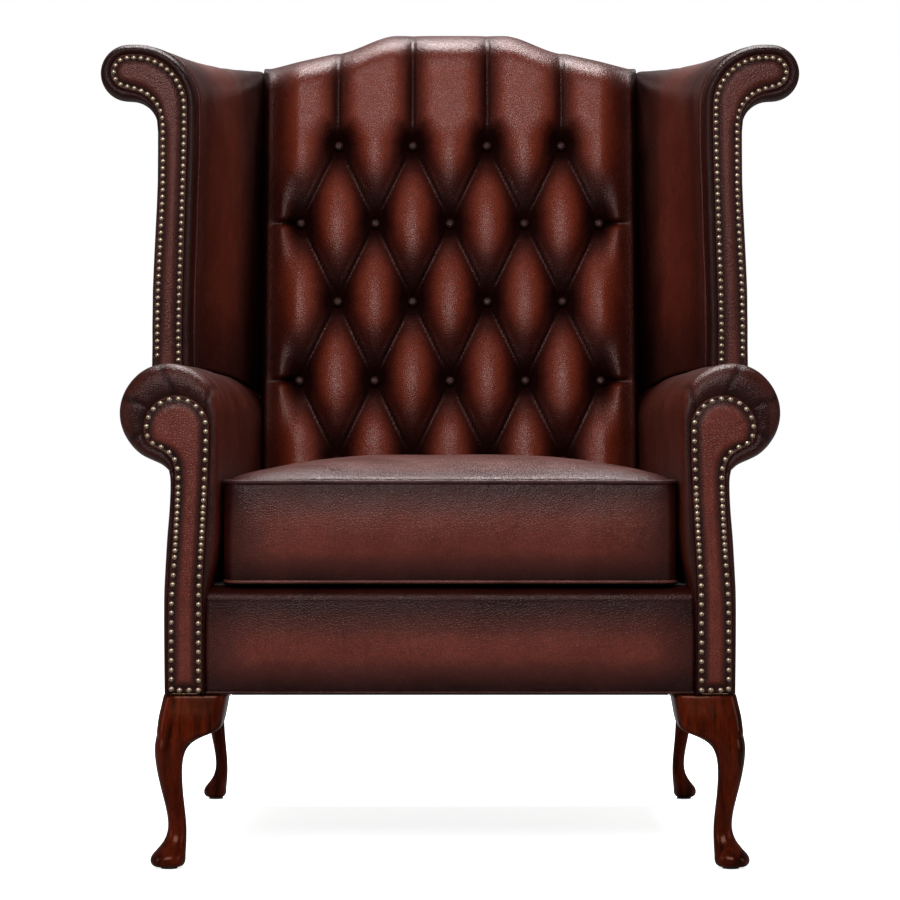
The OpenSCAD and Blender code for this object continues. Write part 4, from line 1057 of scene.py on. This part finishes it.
cushion = keep(cushion_block(), "seat_cushion_cover", hide, "cushion")
even = cushion.modifiers.new("even_mesh", "REMESH")
even.mode = "VOXEL"
even.voxel_size = 0.006
even.use_smooth_shade = True
apply_modifiers(cushion)
for vert in cushion.data.vertices:
    p = vert.co
    if p.z > CUSHION_TOP - 0.004:
        p.z = CUSHION_TOP + crown(p.x, p.y)
print("cushion block:", len(cushion.data.vertices), "vertices")

# %% Swell the cushion
def swell(piece, pinned, pressure, cap, frames=20):
    before = [v.co.copy() for v in piece.data.vertices]
    group = piece.vertex_groups.new(name="seams")
    for vert in piece.data.vertices:
        weight = pinned(vert.co)
        if weight > 0:
            group.add([vert.index], weight, "REPLACE")
    cloth = piece.modifiers.new("cloth", "CLOTH")
    settings = cloth.settings
    settings.quality = 6
    settings.mass = 0.4
    settings.use_pressure = True
    settings.uniform_pressure_force = pressure
    settings.vertex_group_mass = "seams"
    settings.tension_stiffness = settings.compression_stiffness = 22
    settings.bending_stiffness = 3.0
    settings.effector_weights.gravity = 0
    cloth.point_cache.frame_end = frames
    for number in range(1, frames + 1):
        scene.frame_set(number)
    graph = bpy.context.evaluated_depsgraph_get()
    swollen = piece.evaluated_get(graph).to_mesh()
    after = [v.co.copy() for v in swollen.vertices]
    piece.evaluated_get(graph).to_mesh_clear()
    piece.modifiers.clear()
    piece.vertex_groups.clear()
    furthest = 0.0
    for vert, old, new in zip(piece.data.vertices, before, after):
        move = new - old
        if move.length > cap:
            move *= cap / move.length
        furthest = max(furthest, move.length)
        vert.co = old + move
    scene.frame_set(1)
    return furthest


def near_seam(p):
    side = min(cushion_half(p.y) - abs(p.x), p.y - CUSHION_FRONT, CUSHION_FRONT + CUSHION_D - p.y)
    if side < 0.009 and (abs(p.z - CUSHION_TOP) < 0.006 or p.z < CUSHION_LOW + 0.006):
        return 1.0
    return 1.0 if p.z < CUSHION_LOW + 0.002 else 0.0


print("cushion swelled by at most", round(swell(cushion, near_seam, 4.0, 0.008), 4), "m")
for vert in cushion.data.vertices:
    p = vert.co
    p.z = max(p.z, CUSHION_LOW)
    mid = math.sin(math.pi * min(1.0, max(0.0, (p.z - CUSHION_LOW) / CUSHION_H)))
    inner = cushion_half(p.y) - 0.001
    p.x = max(-inner, min(inner, p.x))
    p.y = min(p.y, CUSHION_FRONT + CUSHION_D + 0.003)
    gathers = 0.0016 * wander((p.x * 2.2, p.y * 1.3, p.z * 0.6), 0.06, 9.0) * mid
    if p.y < CUSHION_FRONT + 0.03 and p.z < CUSHION_TOP - 0.004:
        p.y -= 0.0035 * mid + gathers
    elif p.z > CUSHION_TOP:
        p.z += 0.0022 * wander((p.x, p.y, 0), 0.11, 4.0) * crown(p.x, p.y) / CROWN


# Tone of the cushion: the band's middle is lightened as painted highlight where its bulge faces the light, and its
# top, bottom and ends by the arms are darkened as painted shade; the top panel darkens towards its seam.
def cushion_rub_and_shade(p):
    if p.z > CUSHION_TOP + 0.001:
        side = min(cushion_half(p.y) - abs(p.x), p.y - CUSHION_FRONT)
        return 0.35 + 0.25 * ease((side - 0.004) / 0.05)
    height = (p.z - CUSHION_LOW) / CUSHION_H
    middle = ease(height / 0.36) * ease((1 - height) / 0.40)
    ends = ease((max(cushion_half(p.y) - abs(p.x), p.y - CUSHION_FRONT) + 0.0005) / 0.07)
    return 0.04 + 0.56 * middle * (0.25 + 0.75 * ends)


finer = cushion.modifiers.new("finer", "SUBSURF")
finer.levels = finer.render_levels = 1
apply_modifiers(cushion)
# The zip lies in a slot of the rear band, as in the solid cushion, so that tape and slider stay in sight.
ZIP_Z, ZIP_HALF, SLOT_DEPTH = 0.3986, 0.2085, 0.0100
for vert in cushion.data.vertices:
    p = vert.co
    if p.y > CUSHION_FRONT + CUSHION_D - 0.006:
        along = ease((ZIP_HALF + 0.006 - abs(p.x)) / 0.005)
        p.y -= SLOT_DEPTH * along * ease((0.0090 - abs(p.z - ZIP_Z)) / 0.0042)
set_rub_and_shade(cushion, cushion_rub_and_shade)
cushion.data.shade_smooth()
dressed("seat_cushion")
core_bm = bmesh.new()
core_bm.from_mesh(cushion.data)
core_bm.normal_update()
for vert in core_bm.verts:
    vert.co -= vert.normal * 0.004
core = keep(core_bm, "cushion_foam_block", foam, "cushion")
thin = core.modifiers.new("fewer_faces", "DECIMATE")
thin.ratio = 0.25
apply_modifiers(core)
dressed("cushion_core")
print("cushion:", len(cushion.data.polygons), "faces")

# %% [markdown]
# ## Welts
# A welt is a cord in a strip of hide, caught in a seam. Its line is drawn as a closed loop of edges, and a
# small circle is carried along it. Blender's curve bevel does that and keeps the cord round in the
# corners; the curve is then made a mesh, so that its place is in its vertices.

# %% Welt helper
def welt(name, loop, radius, body="chair", closed=True, rub_and_shade=0.55):
    curve = bpy.data.curves.new(name, "CURVE")
    curve.dimensions = "3D"
    curve.bevel_depth = radius
    curve.bevel_resolution = 2
    curve.use_fill_caps = True
    spline = curve.splines.new("POLY")
    spline.points.add(len(loop) - 1)
    for point, place in zip(spline.points, loop):
        point.co = (*place, 1)
    spline.use_cyclic_u = closed
    maker = bpy.data.objects.new(name + "_line", curve)
    scene.collection.objects.link(maker)
    graph = bpy.context.evaluated_depsgraph_get()
    mesh = bpy.data.meshes.new_from_object(maker.evaluated_get(graph))
    bpy.data.objects.remove(maker)
    piece = bpy.data.objects.new(name, mesh)
    scene.collection.objects.link(piece)
    mesh.materials.clear()
    mesh.materials.append(cord_hide)
    set_rub_and_shade(piece, lambda p: rub_and_shade + 0.25 * wander(p, 0.03, 6.0))
    mesh.shade_smooth()
    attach(piece, body)
    return piece


def cushion_loop(z, inset):
    half_back = cushion_half(CUSHION_FRONT + CUSHION_D)
    front, rear = CUSHION_FRONT + inset, CUSHION_FRONT + CUSHION_D - inset
    w, b, c = CUSHION_HALF - inset, half_back - inset, CORNER_R - inset
    plan = (arc(w - c, front + c, c, -90, 0, 8) + arc(b - c, rear - c, c, 0, 90, 8)
        + arc(-b + c, rear - c, c, 90, 180, 8) + arc(-w + c, front + c, c, 180, 270, 8))
    line = Path(plan + [plan[0]])
    return [Vector((line.at(i / 220).x, line.at(i / 220).y, z)) for i in range(220)]


low_welt = welt("cushion_low_welt", cushion_loop(CUSHION_LOW + 0.0032, 0.0014), 0.0021, "cushion", rub_and_shade=0.75)
welt("cushion_top_welt", cushion_loop(CUSHION_TOP, 0.0012), 0.0026, "cushion", rub_and_shade=0.35)
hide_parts("cushion_piping")
print("welts run", round(2 * (2 * CUSHION_D + 4 * CUSHION_HALF), 2), "m")

# %% [markdown]
# ## Front border
# The border covers the seat rail under the cushion. It is a plain panel over a thin layer of felt, a
# little fuller in the middle, with its lower edge turned under the rail over a fine welt.

# %% Front border
BORDER_HALF, BORDER_Y, BORDER_ROUND = 0.2900, -0.3955, 0.014
TURNED_UNDER, ROUNDED_FROM = 0.08, 0.90


def border_rule(u, v):
    x = lerp(-BORDER_HALF, BORDER_HALF, u)
    low, high = LEG_H + 0.0012, DECK_Z - 0.0012
    # The turned-under strip and the rounded top under the cushion get dark tones as painted shade.
    if v < TURNED_UNDER:
        share = v / TURNED_UNDER
        return Vector((x, lerp(-0.384, BORDER_Y, share), low + 0.0003 * share)), 0.0
    if v > ROUNDED_FROM:
        angle = (v - ROUNDED_FROM) / (1 - ROUNDED_FROM) * math.pi / 2
        y = BORDER_Y - 0.001 + 0.040 * (1 - math.cos(angle))
        return Vector((x, y, high - BORDER_ROUND + 0.0135 * math.sin(angle))), 0.12
    share = (v - TURNED_UNDER) / (ROUNDED_FROM - TURNED_UNDER)
    z = lerp(low, high - BORDER_ROUND, share)
    full = math.sin(math.pi * share) ** 0.7
    ends = ease((BORDER_HALF - abs(x)) / 0.06)
    y = BORDER_Y - 0.0042 * full * (0.3 + 0.7 * ends) - 0.0009 * wander((x, 0, z * 0.7), 0.09, 11.0) * full
    # Tone of the border: a lighter middle band as painted highlight, and a darker top under the cushion, a darker
    # bottom and darker ends by the arms as painted shade.
    rub_and_shade = (0.02 + 0.62 * ease(share / 0.42) * ease((1 - share) / 0.50)) * (0.40 + 0.60 * ends)
    return Vector((x, y, z)), rub_and_shade


border = keep(cover_mesh(150, 40, border_rule), "front_border_panel", hide)
give_thickness(border, 0.004)
dressed("front_border")
welt("front_border_welt", [Vector((lerp(-BORDER_HALF, BORDER_HALF, i / 60), -0.3950, LEG_H + 0.0018))
    for i in range(61)], 0.0016, closed=False, rub_and_shade=0.3)
print("front border", 2 * BORDER_HALF, "m wide")

# %% [markdown]
# ## Outside back
# The outside back is one flat hide, stretched over the back frame and closed with a welt along both sides and the
# top.

# %% Outside back
def outside_half(z):
    low = ARM_X - (BACK_Y - FRONT_Y) * math.sin(TOE_IN) + 0.0064
    if z < ARM_TOP:
        return low
    if z < WING_TOP:
        return lerp(low, POST_X + 0.038, (z - ARM_TOP) / (WING_TOP - ARM_TOP))
    return POST_X + 0.038 - 0.043 * ease((z - WING_TOP) / 0.06)


def outside_top(x):
    if abs(x) < BACK_HALF:
        return crest_line(x) - 0.010
    return lerp(1.030, WING_TOP + 0.008, min(1, (abs(x) - BACK_HALF) / 0.043))


def outside_rule(u, v):
    share = 2 * u - 1
    z = lerp(LEG_H + 0.001, outside_top(share * (POST_X + 0.036)), v)
    x = share * outside_half(z)
    rim = min(ease((1 - abs(share)) / 0.05), ease(v / 0.03), ease((1 - v) / 0.03))
    y = outer_y(z) - 0.0020 + 0.0020 * rim - 0.0008 * wander((x, 0, z), 0.16, 3.0)
    return Vector((x, y, z)), 0.12 + 0.36 * rim


outside = keep(cover_mesh(90, 120, outside_rule, inside_out=True), "outside_back_panel", hide)
give_thickness(outside, 0.003)
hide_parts("outside_back")
steps = [i / 60 for i in range(1, 61)]
edge_line = ([outside_rule(0.0, step)[0] for step in [0.0] + steps] + [outside_rule(step, 1.0)[0] for step in steps]
    + [outside_rule(1.0, 1 - step)[0] for step in steps])
welt("outside_back_welt", edge_line, 0.0026, closed=False, rub_and_shade=0.30)
print("outside back:", len(outside.data.polygons), "faces")

# %% [markdown]
# ## Cabriole legs
# A cabriole leg swells at the knee, bends in to a thin ankle and ends in a pad foot that points outwards.
# It could be cut from two profiles, but each height has its own width and its own reach towards the
# corner. So a loop of points is extruded from the foot up, and each new loop is scaled and moved: round at
# the foot and ankle, square where it meets the rail. Subdivision then makes the faces smooth.

# %% Legs
LEG_SHAPE = [(0.000, 0.38, 0.99), (0.006, 0.46, 1.0), (0.022, 0.54, 1.0), (0.045, 0.555, 1.0), (0.070, 0.525, 0.97),
    (0.098, 0.455, 0.88), (0.140, 0.355, 0.76), (0.190, 0.298, 0.69), (0.250, 0.280, 0.68), (0.330, 0.292, 0.74),
    (0.420, 0.330, 0.84), (0.520, 0.378, 0.93), (0.610, 0.425, 0.97), (0.680, 0.49, 0.93), (0.725, 0.60, 0.78),
    (0.755, 0.77, 0.54), (0.780, 0.93, 0.33), (0.810, 1.00, 0.22), (0.865, 1.02, 0.165), (0.930, 1.005, 0.08),
    (1.000, 1.0, 0.0)]
LEG_SIDES, TOE_OUT, GLIDE = 16, 0.0325, 0.002


def squareness(width):
    return ease((width - 0.55) * 2.4) * 0.78 + 0.10


def leg_mesh(x, y, top, back):
    bm = bmesh.new()
    made = bmesh.ops.create_circle(bm, segments=LEG_SIDES, radius=1.0, cap_ends=False)
    ring = made["verts"]
    angles = [math.atan2(v.co.y, v.co.x) for v in ring]
    edges = bm.edges[:]
    whole = [list(ring)]

    def shape(loop, level):
        height, width, reach = level
        round_to = squareness(width)
        for vert, angle in zip(loop, angles):
            far = lerp(1.0, 1 / max(abs(math.cos(angle)), abs(math.sin(angle))), round_to)
            half = width * top / 2 * far
            vert.co = (x + reach * TOE_OUT + half * math.cos(angle), y + back * reach * TOE_OUT
                + half * math.sin(angle), GLIDE + height * (LEG_H - GLIDE - 0.0003))

    shape(ring, LEG_SHAPE[0])
    for level in LEG_SHAPE[1:]:
        grown = bmesh.ops.extrude_edge_only(bm, edges=edges)
        fresh = [g for g in grown["geom"] if isinstance(g, bmesh.types.BMVert)]
        edges = [g for g in grown["geom"] if isinstance(g, bmesh.types.BMEdge)
            and g.verts[0] in fresh and g.verts[1] in fresh]
        loop = []
        for old in whole[-1]:
            loop.append(next(e.other_vert(old) for e in old.link_edges if e.other_vert(old) in fresh))
        shape(loop, level)
        whole.append(loop)
    bmesh.ops.contextual_create(bm, geom=whole[0])
    bmesh.ops.contextual_create(bm, geom=whole[-1])
    rim = [e for e in bm.edges if e.verts[0] in whole[-1] and e.verts[1] in whole[-1]]
    bmesh.ops.bevel(bm, geom=rim, offset=0.0012, segments=1, affect="EDGES", profile=0.5, material=-1)
    bmesh.ops.recalc_face_normals(bm, faces=bm.faces)
    layer = rub_and_shade_layer(bm)
    for vert in bm.verts:
        vert[layer] = 0.5
    return bm


FRONT_LEG, REAR_LEG = 0.078, 0.060
front_leg = (ARM_X + 0.0024 + 0.006 - FRONT_LEG / 2, FRONT_Y + FRONT_LEG / 2 + 0.0057)
rear_leg = (ARM_X - REAR_LEG / 2 - 0.0006, outer_y(LEG_H) - PANEL - REAR_LEG / 2)
legs = both(lambda: leg_mesh(*front_leg, FRONT_LEG, -1), "front_cabriole_leg", mahogany, "front_leg", slot="mahogany")
legs += both(lambda: leg_mesh(*rear_leg, REAR_LEG, 1), "rear_cabriole_leg", mahogany, "rear_leg", slot="mahogany")
for leg in legs:
    soft = leg.modifiers.new("smooth", "SUBSURF")
    soft.levels = soft.render_levels = 2
print("legs:", len(legs))

# %% [markdown]
# ## The frame under the leather
# What the covers hide is carried over from the CAD model with its true shape: beech rails, posts and
# blocks, steel bolts, screws and springs, jute webbing, foam. Each gets its own finish.

# %% Finishes of the carried-over parts
FINISHES = {beech: ["front_rail", "rear_rail", "side_rail", "corner_blocks", "arm_post", "arm_board", "wing_post",
        "wing_rail", "back_post", "crest_rail", "lower_back_rail"],
    steel: ["leg_bolts", "frame_screws", "seat_springs", "spring_clips"], jute: ["back_webbing"],
    hessian: ["back_hessian"], black_cloth: ["dust_cover", "zip_tape"],
    felt: ["seat_platform"], glide_plastic: ["foot_glides"], brass: ["zip_slider"]}
finished = 0
for material, names in FINISHES.items():
    for name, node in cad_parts.items():
        if any(name == n or name in (n + "_left", n + "_right") for n in names):
            node.data.materials.clear()
            node.data.materials.append(material)
            finished += 1
print("carried-over nodes finished:", finished)

# %% [markdown]
# ## Studio
# The floor is a pale sheet. To the camera it looks white, as does the space behind it, but it still lights
# the chair like a real grey-white floor and keeps the chair's shadow. Mirrored in the leather it is darker,
# so that the low parts of the chair keep their colour. One large soft light stands in front
# and above, two weaker ones fill the sides, and one hangs over the seat.

# %% Floor
def floor_material():
    material, tree, shader = new_material("studio_floor")
    shader.inputs["Roughness"].default_value = 0.9
    rays = add(tree, "LightPath")
    tree.links.new(scaled(tree, rays.outputs["Is Glossy Ray"], -0.60, 0.80), shader.inputs["Base Color"])
    shader.inputs["Emission Color"].default_value = (1, 1, 1, 1)
    tree.links.new(scaled(tree, rays.outputs["Is Camera Ray"], 0.80), shader.inputs["Emission Strength"])
    return material


bm = bmesh.new()
bmesh.ops.create_grid(bm, x_segments=1, y_segments=1, size=14)
floor_mesh = bpy.data.meshes.new("floor")
bm.to_mesh(floor_mesh)
bm.free()
floor = bpy.data.objects.new("floor", floor_mesh)
floor_mesh.materials.append(floor_material())
scene.collection.objects.link(floor)

# %% Light
world = bpy.data.worlds.new("studio")
scene.world = world
world.use_nodes = True
world_tree = world.node_tree
sky = world_tree.nodes["Background"]
paths = add(world_tree, "LightPath")
dimmer = scaled(world_tree, paths.outputs["Is Glossy Ray"], -0.16, 0.28)
level = add(world_tree, "Math", {0: paths.outputs["Is Camera Ray"], 2: dimmer}, operation="MULTIPLY_ADD")
level.inputs[1].default_value = 0.72
sky.inputs["Color"].default_value = (1, 1, 1, 1)
world_tree.links.new(level.outputs[0], sky.inputs["Strength"])


def soft_light(name, place, aim, size, power):
    data = bpy.data.lights.new(name, "AREA")
    data.shape = "RECTANGLE"
    data.size, data.size_y = size
    data.energy = power
    lamp = bpy.data.objects.new(name, data)
    lamp.location = place
    lamp.rotation_euler = (Vector(aim) - Vector(place)).to_track_quat("-Z", "Y").to_euler()
    scene.collection.objects.link(lamp)
    return lamp


soft_light("key_softbox", (-0.3, -2.8, 2.1), (0, 0, 0.6), (1.9, 1.2), 84)
soft_light("left_fill", (-2.8, -1.6, 1.2), (0, 0, 0.5), (0.8, 1.4), 12)
soft_light("right_fill", (2.8, -1.6, 1.2), (0, 0, 0.5), (0.8, 1.4), 12)
soft_light("top_light", (0, 1.5, 4.0), (0, -0.1, 0.5), (2.6, 1.2), 240)
